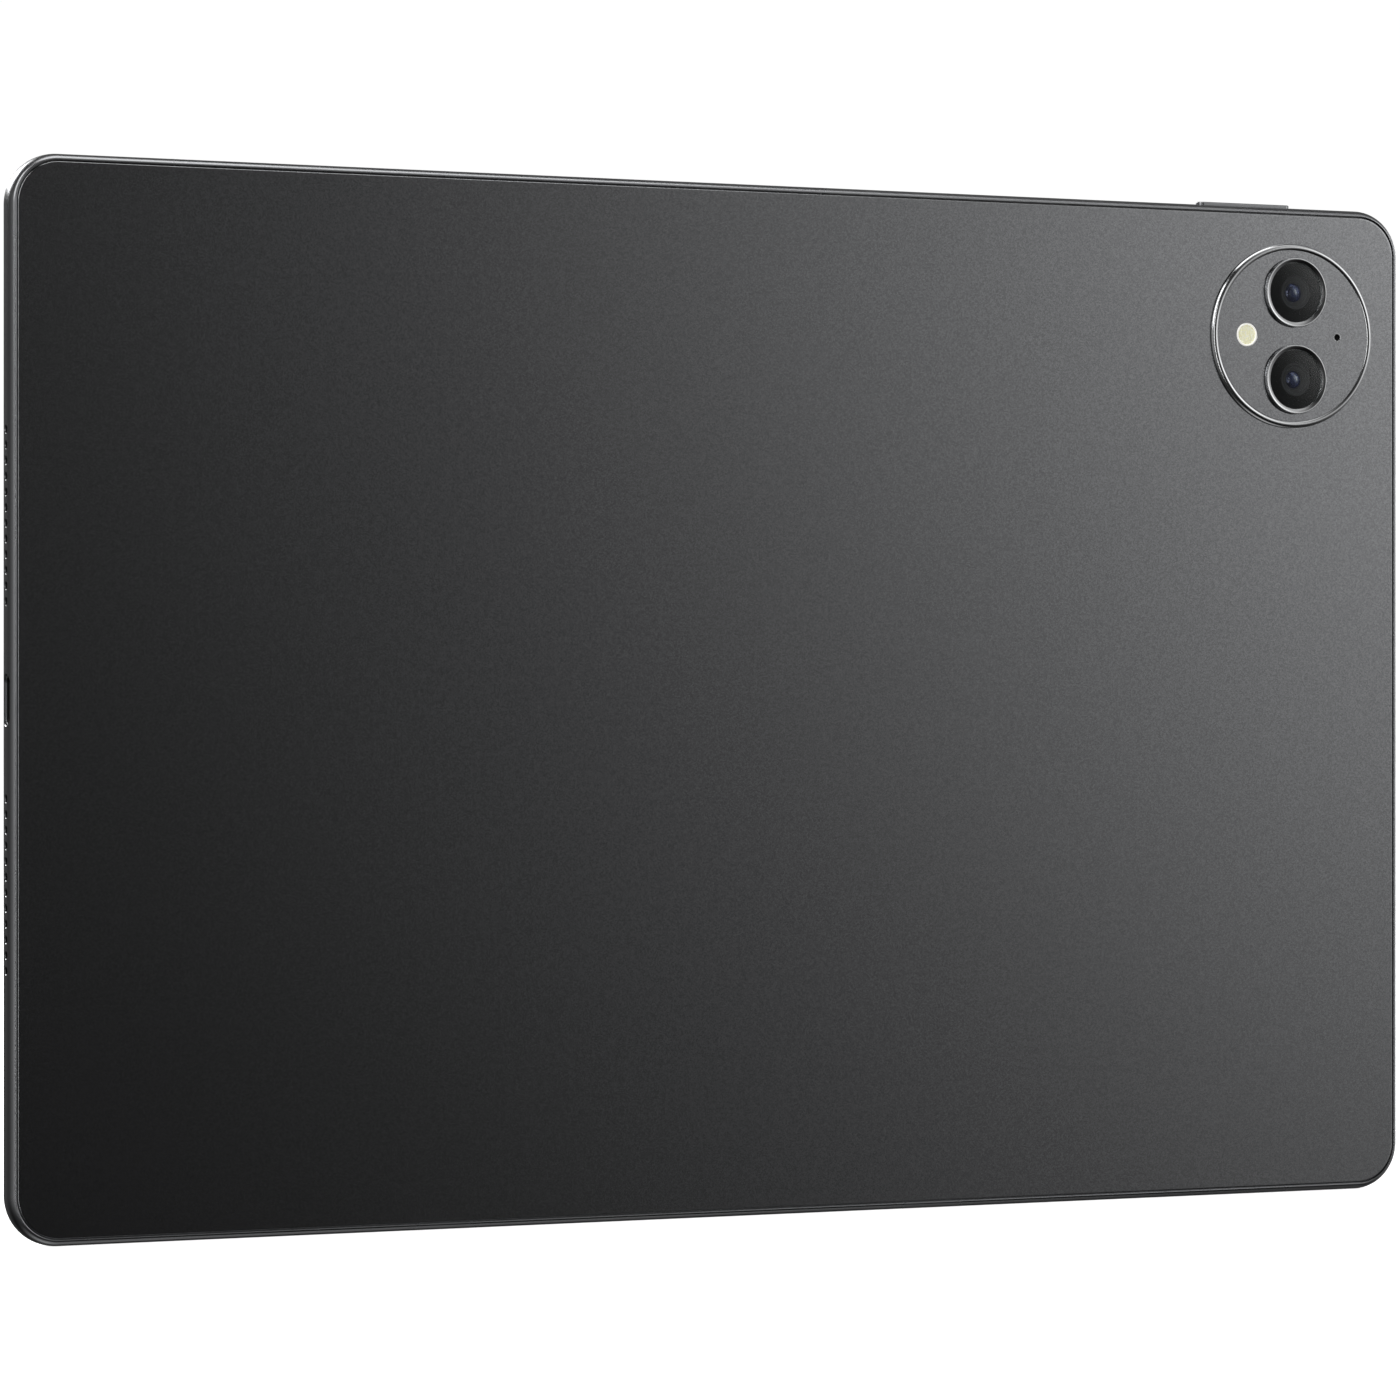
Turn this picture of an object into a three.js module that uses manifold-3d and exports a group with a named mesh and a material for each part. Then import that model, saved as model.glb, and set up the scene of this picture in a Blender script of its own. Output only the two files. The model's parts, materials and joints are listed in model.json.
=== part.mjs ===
// Tablet computer of the 13.2-inch class: a slim metal frame, a flat rear cover with a round
// camera island, a glass front, one long rocking volume key and a sliding power key.
// Millimetres. The origin is the centre of the rear cover's outer face. +X is to the right as
// seen from the rear, +Y runs through the body towards the screen, and +Z is up.
import * as THREE from 'three';
import { mergeVertices } from 'three/addons/utils/BufferGeometryUtils.js';
import Module from 'manifold-3d';

const wasm = await Module();
wasm.setup();

// Driving dimensions. An inset is measured inwards from the body's outermost outline, and
// rear, front, top and ledge are places along Y.
const body = { width: 289.1, height: 196.1, depth: 5.5, corner: 9.3 };
const halfWidth = body.width / 2;
const halfHeight = body.height / 2;
const cornerSteps = 4;
const fit = 0.04;

// Frame and covers
const shoulder = { inset: 1.15, depth: 2.4, steps: 5 };
const frontEdge = { inset: 1.0, start: 3.2, end: 5.25, steps: 5 };
const wall = 3.0;
const rearLip = { inset: 1.28, ledge: 0.72 };
const frontLip = { inset: 1.1, ledge: 4.72, seat: 2.7 };
const web = { rear: 4.0, front: 4.28 };
const cover = { inset: 1.42, thickness: 0.55, chamfer: 0.18 };
const glass = { inset: 1.2, rear: 4.9, bevel: 0.25 };
const panel = { inset: 2.9, rear: 4.32, front: 4.87 };
const rearGasket = { outer: 1.5, inner: 2.8 };
const frontGasket = { outer: 1.3, inner: 2.5 };
const displayFlex = { x: 85, z: -60, halfWidth: 11, reach: 12, rear: 3.45, thickness: 0.12 };

// Camera island, in a frame of its own at its centre
const island = { x: 119.45, z: 72.4, hole: 18.4, plateRadius: 17.08, plateRear: -0.8, plateFront: -0.19 };
const lens = { x: 0.4, offset: 8.63, radius: 6.875, flange: 7.6, seat: 5.4 };
const lensGlass = { radius: 5.93, bevel: 0.08, rear: -1.45, front: -1.0 };
const cameraModule = { size: 12.4, corner: 1.2, rear: 0.25, front: 3.8, barrelRear: -0.9 };
const bracket = { width: 18, height: 40.2, corner: 3, rear: 1.5, front: 1.8, screwOffset: 18.3 };
const flash = { x: -10.5, radius: 2.25, rear: -0.87, front: -0.25, boardRear: 0.2, boardSize: 4.6 };
const microphone = { x: 10.2, hole: 0.6, width: 3, height: 4, rear: -0.13, front: 0.85 };

// Keys and their switches
const keyWidth = 2.2;
const keyY = 2.8;
const keyGap = 0.15;
const volumeKey = { x: 110, length: 20.9, proud: 0.6, foot: 1.65, plunger: 0.55, reach: 7 };
const powerKey = { z: 66, length: 15, proud: 0.15, foot: 1.95, plunger: 0.6, travel: 0.25 };
const retainer = { gap: 0.1, thickness: 0.35, rear: -1.1, front: 0.7 };
const domeSwitch = { half: 1.8, depth: 1.1, button: 0.75, buttonHeight: 0.35 };
const plungerY = -0.1;

// Charge port, speakers and the boards
const port = { y: 2.4, width: 9.2, height: 3.2, mouth: 0.35, depth: 6.8, shellWall: 0.3, tongue: 6.7 };
const speaker = { holes: 12, pitch: 2.8, first: 17.65, radius: 0.7, y: 2.4, centre: 33.05 };
const speakerBox = { width: 19.6, height: 38, corner: 2.2, rear: 0.9, front: 3.85, inset: 10.4 };
const board = { rear: 2.6, front: 3.4, left: 60, right: 105, halfHeight: 88, notch: 4 };
const portBoard = { x: -127, width: 20.6, height: 22 };
const flexLayer = { rear: 3.5, front: 3.62 };
const shield = { rear: 1.2, wall: 0.3, roof: 0.2, corner: 1 };
const screw = { headRadius: 1.3, headHeight: 0.42, shankRadius: 0.6, tip: 4.0, clearance: 0.15 };
const bossRadius = 1.6;
const battery = { rear: 0.85, front: 3.85, height: 124, corner: 2.4 };
const frontCamera = { x: 0, z: 90.3, size: 6.4, rear: 1.6, shoulder: 4.2, barrel: 2.0, barrelFront: 4.84 };
const penRail = { z: 93, coilX: -28, magnetReach: 38, rear: 1.2, front: 3.4 };

const boardScrews = [[64, 84], [101, 84], [64, -84], [101, -84]];
const portScrews = [[-119.5, 0]];
const bracketScrews = [bracket.screwOffset, -bracket.screwOffset].map((dz) => [island.x, island.z + dz]);

// Finishes: colour, roughness and metalness.
const finishes = {
  frameMetal: ['#8b8d90', 0.32, 1],
  coverCoat: ['#66686a', 0.5, 0.6],
  polished: ['#d6d8da', 0.12, 1],
  glassBlack: ['#060709', 0.05, 0],
  displayBlack: ['#0b0c10', 0.2, 0],
  foam: ['#1c1c1d', 0.9, 0],
  moduleBlack: ['#15161a', 0.6, 0],
  steel: ['#b4b6b8', 0.3, 1],
  boardGreen: ['#1d3a2c', 0.6, 0],
  flexAmber: ['#8a5a1c', 0.55, 0],
  shieldTin: ['#a9acae', 0.35, 1],
  graphite: ['#3a3b3d', 0.5, 0.2],
  pouch: ['#2a2c30', 0.45, 0.3],
  copper: ['#b06a3a', 0.4, 1],
  phosphor: ['#e9dfb0', 0.3, 0],
  magnet: ['#9a9da0', 0.4, 1],
};

// ---- Shapes ----

function roundedRect(width, height, radius, x = 0, z = 0) {
  const shape = new THREE.Shape();
  const w = width / 2 - radius;
  const h = height / 2 - radius;
  shape.absarc(x + w, z + h, radius, 0, Math.PI / 2);
  shape.absarc(x - w, z + h, radius, Math.PI / 2, Math.PI);
  shape.absarc(x - w, z - h, radius, Math.PI, 1.5 * Math.PI);
  shape.absarc(x + w, z - h, radius, 1.5 * Math.PI, 2 * Math.PI);
  return shape;
}

function bodyOutline(inset) {
  return roundedRect(body.width - 2 * inset, body.height - 2 * inset, body.corner - inset);
}

function stadium(length, width) {
  const shape = new THREE.Shape();
  const half = (length - width) / 2;
  shape.absarc(half, 0, width / 2, -Math.PI / 2, Math.PI / 2);
  shape.absarc(-half, 0, width / 2, Math.PI / 2, 1.5 * Math.PI);
  return shape;
}

function polygon(points) {
  return new THREE.Shape(points.map(([x, z]) => new THREE.Vector2(x, z)));
}

// A flat plate in the XZ plane, from rear to front along Y.
function plate(shape, rear, front, curveSegments = cornerSteps) {
  const settings = { depth: front - rear, bevelEnabled: false, curveSegments };
  const geometry = new THREE.ExtrudeGeometry(shape, settings);
  return geometry.rotateX(Math.PI / 2).translate(0, front, 0);
}

function ringPlate(outerInset, innerInset, rear, front) {
  const shape = bodyOutline(outerInset);
  shape.holes.push(bodyOutline(innerInset));
  return plate(shape, rear, front);
}

function block(x0, x1, y0, y1, z0, z1) {
  const geometry = new THREE.BoxGeometry(x1 - x0, y1 - y0, z1 - z0);
  return geometry.translate((x0 + x1) / 2, (y0 + y1) / 2, (z0 + z1) / 2);
}

function rod(radius, start, end, axis, sides = 16) {
  const geometry = new THREE.CylinderGeometry(radius, radius, end - start, sides);
  geometry.translate(0, (start + end) / 2, 0);
  if (axis === 'x') return geometry.rotateZ(-Math.PI / 2);
  if (axis === 'z') return geometry.rotateX(Math.PI / 2);
  return geometry;
}

// A stadium prism along X, its length along Z.
function passageX(length, width, start, end, y, z) {
  const geometry = new THREE.ExtrudeGeometry(stadium(length, width), {
    depth: end - start,
    bevelEnabled: false,
    curveSegments: cornerSteps,
  });
  return geometry.rotateY(-Math.PI / 2).translate(end, y, z);
}

// A stadium prism along Z, its length along X.
function passageZ(length, width, start, end, x, y) {
  const geometry = new THREE.ExtrudeGeometry(stadium(length, width), {
    depth: end - start,
    bevelEnabled: false,
    curveSegments: cornerSteps,
  });
  return geometry.translate(x, y, start);
}

// A turned piece about an axis along Y; its profile runs anticlockwise in (radius, y).
function turned(profile, sides) {
  return new THREE.LatheGeometry(profile.map(([r, y]) => new THREE.Vector2(r, y)), sides);
}

// Skins the body's outline through rows of { inset, y }, from the rear to the front.
function loft(rows) {
  const rings = rows.map((row) => bodyOutline(row.inset).getPoints(cornerSteps));
  const count = rings[0].length;
  const positions = rings.flatMap((ring, i) => ring.flatMap((p) => [p.x, rows[i].y, p.y]));
  const rearCentre = rows.length * count;
  const frontCentre = rearCentre + 1;
  positions.push(0, rows[0].y, 0, 0, rows[rows.length - 1].y, 0);
  const index = [];
  for (let j = 0; j < count; j += 1) {
    const next = (j + 1) % count;
    for (let i = 0; i < rows.length - 1; i += 1) {
      const near = i * count;
      const far = near + count;
      index.push(near + j, far + j, near + next, near + next, far + j, far + next);
    }
    const last = (rows.length - 1) * count;
    index.push(rearCentre, j, next, frontCentre, last + next, last + j);
  }
  const geometry = new THREE.BufferGeometry();
  geometry.setAttribute('position', new THREE.Float32BufferAttribute(positions, 3));
  return geometry.setIndex(index);
}

// ---- Booleans ----

function toSolid(geometry) {
  const bare = geometry.clone();
  bare.deleteAttribute('normal');
  bare.deleteAttribute('uv');
  const merged = mergeVertices(bare, 1e-4);
  const triVerts = [];
  for (let i = 0; i < merged.index.count; i += 3) {
    const corners = [0, 1, 2].map((k) => merged.index.getX(i + k));
    if (new Set(corners).size === 3) triVerts.push(...corners);
  }
  return new wasm.Manifold(new wasm.Mesh({
    numProp: 3,
    vertProperties: new Float32Array(merged.attributes.position.array),
    triVerts: new Uint32Array(triVerts),
  }));
}

function toGeometry(solid) {
  const { vertProperties, triVerts } = solid.getMesh();
  const geometry = new THREE.BufferGeometry();
  geometry.setAttribute('position', new THREE.BufferAttribute(vertProperties, 3));
  geometry.setIndex(new THREE.BufferAttribute(triVerts, 1));
  geometry.computeVertexNormals();
  return geometry;
}

function cut(base, ...tools) {
  return toGeometry(tools.reduce((solid, tool) => solid.subtract(toSolid(tool)), toSolid(base)));
}

function join(base, ...others) {
  return toGeometry(others.reduce((solid, other) => solid.add(toSolid(other)), toSolid(base)));
}

// ---- Scene graph ----

function piece(name, geometry, finishName, place = [0, 0, 0]) {
  const [color, roughness, metalness] = finishes[finishName];
  const material = new THREE.MeshStandardMaterial({ color, roughness, metalness });
  const mesh = new THREE.Mesh(geometry, material);
  mesh.name = name;
  mesh.position.set(...place);
  return mesh;
}

function assembly(place, ...members) {
  const group = new THREE.Group();
  group.position.set(...place);
  group.add(...members);
  return group;
}

function screwPiece(name, [x, z], seat) {
  const head = rod(screw.headRadius, seat - fit - screw.headHeight, seat - fit, 'y', 12);
  const socket = rod(0.5, seat - 1, seat - fit - 0.2, 'y', 6);
  const shank = rod(screw.shankRadius, seat - fit - 0.1, screw.tip, 'y', 8);
  return piece(name, cut(join(head, shank), socket), 'steel', [x, 0, z]);
}

// ---- Frame and covers ----

function frameRows() {
  const rows = [];
  for (let i = 0; i <= shoulder.steps; i += 1) {
    const angle = (i / shoulder.steps) * Math.PI / 2;
    const inset = shoulder.inset * (1 - Math.sin(angle));
    rows.push({ inset, y: shoulder.depth * (1 - Math.cos(angle)) });
  }
  for (let i = 0; i <= frontEdge.steps; i += 1) {
    const angle = (i / frontEdge.steps) * Math.PI / 2;
    const rise = (frontEdge.end - frontEdge.start) * Math.sin(angle);
    rows.push({ inset: frontEdge.inset * (1 - Math.cos(angle)), y: frontEdge.start + rise });
  }
  return rows;
}

function boss([x, z], top) {
  return rod(bossRadius, top, web.rear + 0.1, 'y', 12).translate(x, 0, z);
}

function bossBore([x, z]) {
  return rod(screw.shankRadius + screw.clearance, -1, screw.tip + fit, 'y', 8).translate(x, 0, z);
}

function screwBore([x, z]) {
  return rod(screw.shankRadius + screw.clearance, 0, body.depth, 'y', 8).translate(x, 0, z);
}

function speakerBores() {
  const bores = [];
  const faceUp = Math.PI / 8;
  for (const middle of [-halfWidth + wall / 2, halfWidth - wall / 2]) {
    for (const half of [-1, 1]) {
      for (let i = 0; i < speaker.holes; i += 1) {
        const z = half * (speaker.first + i * speaker.pitch);
        const bore = rod(speaker.radius, middle - wall, middle + wall, 'x', 8);
        bores.push(bore.rotateX(faceUp).translate(0, speaker.y, z));
      }
    }
  }
  return bores;
}

function webOpening(width, height, x, z) {
  return plate(roundedRect(width, height, 0.8, x, z), web.rear - 0.1, web.front + 0.1, 2);
}

function keySlot(length, passage, start, end, ...place) {
  return passage(length + 2 * keyGap, keyWidth + 2 * keyGap, start, end, ...place);
}

function midFrame() {
  const innerX = halfWidth - wall;
  const innerZ = halfHeight - wall;
  const hollow = cut(
    loft(frameRows()),
    plate(bodyOutline(rearLip.inset), -1, rearLip.ledge),
    plate(bodyOutline(wall), -1, web.rear),
    plate(bodyOutline(frontLip.inset), frontLip.ledge, body.depth + 1),
    plate(bodyOutline(frontLip.seat), web.front, body.depth + 1),
  );
  const bosses = [
    ...[...boardScrews, ...portScrews].map((place) => boss(place, board.front + fit)),
    ...bracketScrews.map((place) => boss(place, bracket.front + fit)),
  ];
  const portNotch = { near: -innerX + fit, far: -halfWidth + port.depth + 0.6 };
  const openings = [
    ...speakerBores(),
    ...[...boardScrews, ...portScrews, ...bracketScrews].map(bossBore),
    passageX(port.width, port.height, -halfWidth - 1, -innerX + 1, port.y, 0),
    keySlot(powerKey.length, passageX, innerX - 0.5, halfWidth + 1, keyY, powerKey.z),
    keySlot(volumeKey.length, passageZ, innerZ - 0.5, halfHeight + 1, volumeKey.x, keyY),
    webOpening(portNotch.far - portNotch.near, port.width + 1, (portNotch.near + portNotch.far) / 2, 0),
    webOpening(frontCamera.size + 1, frontCamera.size + 1, frontCamera.x, frontCamera.z),
    webOpening(2 * displayFlex.halfWidth + 4, 3, displayFlex.x, displayFlex.z),
  ];
  return piece('mid_frame', cut(join(hollow, ...bosses), ...openings), 'frameMetal');
}

function rearCover() {
  const { inset, thickness, chamfer } = cover;
  const rim = [
    { inset: inset + chamfer, y: 0 },
    { inset, y: chamfer },
    { inset, y: thickness },
  ];
  const hole = rod(island.hole, -1, 1, 'y', 48).translate(island.x, 0, island.z);
  return piece('rear_cover', cut(loft(rim), hole), 'coverCoat');
}

function coverGlass() {
  const { inset, rear, bevel } = glass;
  const rim = [
    { inset, y: rear },
    { inset, y: body.depth - bevel },
    { inset: inset + bevel / 4, y: body.depth - bevel / 4 },
    { inset: inset + bevel, y: body.depth },
  ];
  return piece('cover_glass', loft(rim), 'glassBlack');
}

function gaskets() {
  const rear = ringPlate(rearGasket.outer, rearGasket.inner, cover.thickness + fit, rearLip.ledge - fit);
  const front = ringPlate(frontGasket.outer, frontGasket.inner, frontLip.ledge + fit, glass.rear - fit);
  return [
    piece('rear_cover_gasket', rear, 'foam'),
    piece('display_gasket', front, 'foam'),
  ];
}

function display() {
  const cameraHole = rod(frontCamera.barrel + 0.3, web.rear, body.depth, 'y', 20);
  cameraHole.translate(frontCamera.x, 0, frontCamera.z);
  const { x, z, halfWidth: half, reach, rear, thickness } = displayFlex;
  const flex = join(
    block(x - half, x + half, rear, web.front, z, z + thickness),
    block(x - half, x + half, rear, rear + thickness, z, z + reach),
  );
  const oled = cut(plate(bodyOutline(panel.inset), panel.rear, panel.front), cameraHole);
  return [
    piece('oled_panel', oled, 'displayBlack'),
    piece('display_flex', flex, 'flexAmber'),
  ];
}

// ---- Camera island ----

function lensRing(name, z) {
  const profile = [
    [lens.seat, -0.96], [5.97, -0.96], [5.97, -1.42], [6.6, -1.65], [6.8, -1.65], [lens.radius, -1.57],
    [lens.radius, -0.15], [lens.flange, -0.15], [lens.flange, 0.15], [lens.seat, 0.15], [lens.seat, -0.96],
  ];
  return piece(name, turned(profile, 32), 'polished', [lens.x, 0, z]);
}

function lensWindow(name, z) {
  const { radius, bevel, rear, front } = lensGlass;
  const profile = [[0, rear], [radius - bevel, rear], [radius, rear + bevel], [radius, front], [0, front]];
  return piece(name, turned(profile, 32), 'glassBlack', [lens.x, 0, z]);
}

function cameraModulePiece(name, z, barrelRadius) {
  const { size, corner, rear, front, barrelRear } = cameraModule;
  const housing = plate(roundedRect(size, size, corner), rear, front, 2);
  const barrel = rod(barrelRadius, barrelRear, rear + 0.1, 'y', 24);
  return piece(name, join(housing, barrel), 'moduleBlack', [lens.x, 0, z]);
}

function cameraBracket() {
  const shape = roundedRect(bracket.width, bracket.height, bracket.corner);
  const window = cameraModule.size + 0.5;
  for (const z of [lens.offset, -lens.offset]) shape.holes.push(roundedRect(window, window, 1.3, lens.x, z));
  const bores = bracketScrews.map(([x, z]) => screwBore([x - island.x, z - island.z]));
  return piece('camera_bracket', cut(plate(shape, bracket.rear, bracket.front, 2), ...bores), 'steel');
}

function decoRing() {
  const profile = [
    [16.6, 0.95], [16.6, -0.15], [17.15, -0.15], [17.15, -0.87], [17.3, -0.95], [17.95, -0.95],
    [18.2, -0.72], [18.2, 0.6], [19.4, 0.6], [19.4, 0.95], [16.6, 0.95],
  ];
  return piece('camera_deco_ring', turned(profile, 48), 'polished');
}

function islandPlate() {
  const through = (radius, x, z, sides) => rod(radius, -3, 0, 'y', sides).translate(x, 0, z);
  const disc = cut(
    rod(island.plateRadius, island.plateRear, island.plateFront, 'y', 48),
    through(lens.radius + 0.08, lens.x, lens.offset, 32),
    through(lens.radius + 0.08, lens.x, -lens.offset, 32),
    through(flash.radius + 0.05, flash.x, 0, 24),
    through(microphone.hole, microphone.x, 0, 12),
  );
  return piece('camera_island_plate', disc, 'coverCoat');
}

function flashAndMicrophone() {
  const half = flash.boardSize / 2;
  const ledBoard = join(
    block(-half, half, flash.boardRear, flash.boardRear + 0.4, -half, half),
    block(-1, 1, flash.boardRear - 0.35, flash.boardRear + 0.1, -1, 1),
  );
  const { x, width, height, rear, front } = microphone;
  const can = block(-width / 2, width / 2, rear, front, -height / 2, height / 2);
  return [
    piece('flash_window', rod(flash.radius, flash.rear, flash.front, 'y', 24), 'phosphor', [flash.x, 0, 0]),
    piece('flash_led_board', ledBoard, 'boardGreen', [flash.x, 0, 0]),
    piece('rear_microphone', can, 'shieldTin', [x, 0, 0]),
  ];
}

function cameraIsland() {
  return assembly(
    [island.x, 0, island.z],
    decoRing(),
    islandPlate(),
    lensRing('main_lens_ring', lens.offset),
    lensRing('wide_lens_ring', -lens.offset),
    lensWindow('main_lens_window', lens.offset),
    lensWindow('wide_lens_window', -lens.offset),
    cameraModulePiece('main_camera_module', lens.offset, 4.8),
    cameraModulePiece('wide_camera_module', -lens.offset, 4.4),
    cameraBracket(),
    ...flashAndMicrophone(),
  );
}

// ---- Keys ----

// The volume key rocks on the retainer's middle rib, and a plunger near each end presses a switch.
function volumeKeyGroup() {
  const inside = halfHeight - wall;
  const foot = halfHeight - volumeKey.foot;
  const strip = { low: inside - retainer.gap - retainer.thickness, high: inside - retainer.gap };
  const plungerEnd = inside - 0.75;
  const buttonTop = plungerEnd - 0.25;
  const deck = buttonTop - domeSwitch.buttonHeight;
  const ends = [-volumeKey.reach, volumeKey.reach];
  const upright = (radius, x, start, end) => rod(radius, start, end, 'z', 10).translate(x, plungerY, 0);
  const plungers = ends.map((x) => upright(volumeKey.plunger, x, plungerEnd, foot + 0.1));
  const cap = passageZ(volumeKey.length, keyWidth, foot, halfHeight + volumeKey.proud, 0, 0);
  const ribbed = join(
    block(-9.5, 9.5, retainer.rear, retainer.front, strip.low, strip.high),
    block(-0.7, 0.7, -0.8, retainer.front, strip.high - 0.1, foot - 0.15),
  );
  const passages = ends.map((x) => upright(0.8, x, inside - 2, inside + 2));
  const { half, depth, button } = domeSwitch;
  const pressed = join(
    block(-half, half, -1, 0.8, deck - depth, deck),
    upright(button, 0, deck - 0.1, buttonTop),
  );
  const flexTop = deck - depth - fit;
  return assembly(
    [volumeKey.x, keyY, 0],
    piece('volume_key', join(cap, ...plungers), 'frameMetal'),
    piece('volume_key_retainer', cut(ribbed, ...passages), 'steel'),
    piece('volume_up_switch', pressed, 'shieldTin', [volumeKey.reach, 0, 0]),
    piece('volume_down_switch', pressed, 'shieldTin', [-volumeKey.reach, 0, 0]),
    piece('volume_key_flex', block(-9.6, 9.6, -1, 0.7, flexTop - 0.16, flexTop), 'flexAmber'),
  );
}

// The power key slides straight in, and its one plunger presses a switch.
function powerKeyGroup() {
  const inside = halfWidth - wall;
  const foot = halfWidth - powerKey.foot;
  const strip = { near: inside - retainer.gap - retainer.thickness, far: inside - retainer.gap };
  const plungerEnd = inside - 0.5;
  const buttonTop = plungerEnd - powerKey.travel - 0.1;
  const deck = buttonTop - domeSwitch.buttonHeight;
  const cap = passageX(powerKey.length, keyWidth, foot, halfWidth + powerKey.proud, 0, 0);
  const sideways = (radius, start, end) => rod(radius, start, end, 'x', 10).translate(0, plungerY, 0);
  const plain = block(strip.near, strip.far, retainer.rear, retainer.front, -6.5, 6.5);
  const { half, depth, button } = domeSwitch;
  const pressed = join(
    block(deck - depth, deck, -1, 0.8, -half, half),
    sideways(button, deck - 0.1, buttonTop),
  );
  const flexTop = deck - depth - fit;
  return assembly(
    [0, keyY, powerKey.z],
    piece('power_key', join(cap, sideways(powerKey.plunger, plungerEnd, foot + 0.1)), 'frameMetal'),
    piece('power_key_retainer', cut(plain, sideways(0.85, inside - 2, inside + 2)), 'steel'),
    piece('power_switch', pressed, 'shieldTin'),
    piece('power_key_flex', block(flexTop - 0.16, flexTop, -1, 0.7, -5, 9), 'flexAmber'),
  );
}

// ---- Charge port and its board ----

function chargePort() {
  const mouth = -halfWidth + port.mouth;
  const rear = -halfWidth + port.depth;
  const outer = { length: port.width - 0.1, height: port.height - 0.1 };
  const inner = { length: outer.length - 2 * port.shellWall, height: outer.height - 2 * port.shellWall };
  const half = port.tongue / 2;
  const shell = cut(
    passageX(outer.length, outer.height, mouth, rear, port.y, 0),
    passageX(inner.length, inner.height, mouth - 1, rear + 1, port.y, 0),
  );
  const tongue = join(
    block(mouth + 0.4, rear - 0.8, port.y - 0.35, port.y + 0.35, -half, half),
    passageX(inner.length - 0.1, inner.height - 0.1, rear - 1, rear, port.y, 0),
  );
  const boardShape = roundedRect(portBoard.width, portBoard.height, 1.2, portBoard.x, 0);
  const boardPlate = cut(plate(boardShape, board.rear, board.front, 2), ...portScrews.map(screwBore));
  return [
    piece('charge_port_shell', shell, 'steel'),
    piece('charge_port_tongue', tongue, 'moduleBlack'),
    piece('port_board', boardPlate, 'boardGreen'),
    ...portScrews.map((place) => screwPiece('port_board_screw', place, board.rear)),
  ];
}

// The flex leaves the port board, runs under the batteries' lower edge and turns up to the main board.
function interconnectFlex() {
  const start = { left: -124, right: -113.2, top: 9, tail: 3 };
  const run = { top: -65.5, bottom: -70.5, left: -117.2 };
  const end = { left: 67, right: 71.5, top: -50 };
  const shape = polygon([
    [start.left, start.top], [start.left, start.tail], [run.left, start.tail], [run.left, run.bottom],
    [end.right, run.bottom], [end.right, end.top], [end.left, end.top], [end.left, run.top],
    [start.right, run.top], [start.right, start.top],
  ]);
  return piece('interconnect_flex', plate(shape, flexLayer.rear, flexLayer.front), 'flexAmber');
}

// ---- Speakers ----

function speakers() {
  const { width, height, corner, rear, front, inset } = speakerBox;
  const well = rod(7.2, rear - 1, rear + 0.5, 'y', 20);
  const cone = rod(5.4, rear + 0.2, rear + 0.7, 'y', 20);
  const box = join(cut(plate(roundedRect(width, height, corner), rear, front, 2), well), cone);
  const reach = speaker.centre - speaker.first + 1.6;
  const mesh = block(-0.08, 0.08, speaker.y - 0.9, speaker.y + 0.7, -reach, reach);
  const innerX = halfWidth - wall;
  const members = [];
  for (const [side, sideName] of [[-1, 'port_side'], [1, 'key_side']]) {
    for (const [half, halfName] of [[-1, 'lower'], [1, 'upper']]) {
      const z = half * speaker.centre;
      const ending = `${sideName}_${halfName}`;
      members.push(piece(`speaker_${ending}`, box, 'moduleBlack', [side * (innerX - inset), 0, z]));
      members.push(piece(`speaker_mesh_${ending}`, mesh, 'graphite', [side * (innerX - 0.2), 0, z]));
    }
  }
  return members;
}

// ---- Main board, batteries and small modules ----

function shieldCan(width, height) {
  const can = plate(roundedRect(width, height, shield.corner), shield.rear, board.rear - fit, 2);
  const halfX = width / 2 - shield.wall;
  const halfZ = height / 2 - shield.wall;
  return cut(can, block(-halfX, halfX, shield.rear + shield.roof, board.front, -halfZ, halfZ));
}

function mainBoard() {
  const { left, right, halfHeight: top, notch } = board;
  const outline = polygon([
    [left, -top], [right, -top], [right, top], [left, top],
    [left, 30], [left + notch, 26], [left + notch, -26], [left, -30],
  ]);
  const middle = (left + right) / 2 + 1;
  const boardPlate = cut(plate(outline, board.rear, board.front), ...boardScrews.map(screwBore));
  const processor = block(-7.5, 7.5, 1.5, board.rear - fit, -7.5, 7.5);
  return [
    piece('main_board', boardPlate, 'boardGreen'),
    piece('processor_package', processor, 'moduleBlack', [middle, 0, 25]),
    piece('processor_shield', shieldCan(30, 34), 'shieldTin', [middle, 0, 25]),
    piece('power_shield', shieldCan(28, 38), 'shieldTin', [middle, 0, -28]),
    piece('heat_spreader', plate(roundedRect(36, 106, 2), 0.95, 1.1, 2), 'graphite', [middle, 0, 0]),
    ...boardScrews.map((place, i) => screwPiece(`main_board_screw_${i + 1}`, place, board.rear)),
  ];
}

function batteries() {
  const { rear, front, height, corner } = battery;
  const cell = (name, x, width) => {
    const pouch = plate(roundedRect(width, height, corner), rear, front, 2);
    return piece(name, pouch, 'pouch', [x, 0, 0]);
  };
  return [
    cell('battery_cell_left', -67, 90),
    cell('battery_cell_right', 19, 74),
    piece('battery_protection_board', block(-40, 40, 2.2, 3, -2.5, 2.5), 'boardGreen', [-20, 0, 66]),
  ];
}

function frontCameraModule() {
  const { x, z, size, rear, shoulder: step, barrel, barrelFront } = frontCamera;
  const half = size / 2;
  const geometry = join(
    block(-half, half, rear, step, -half, half),
    rod(barrel, step - 0.1, barrelFront, 'y', 20),
  );
  return piece('front_camera_module', geometry, 'moduleBlack', [x, 0, z]);
}

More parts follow.
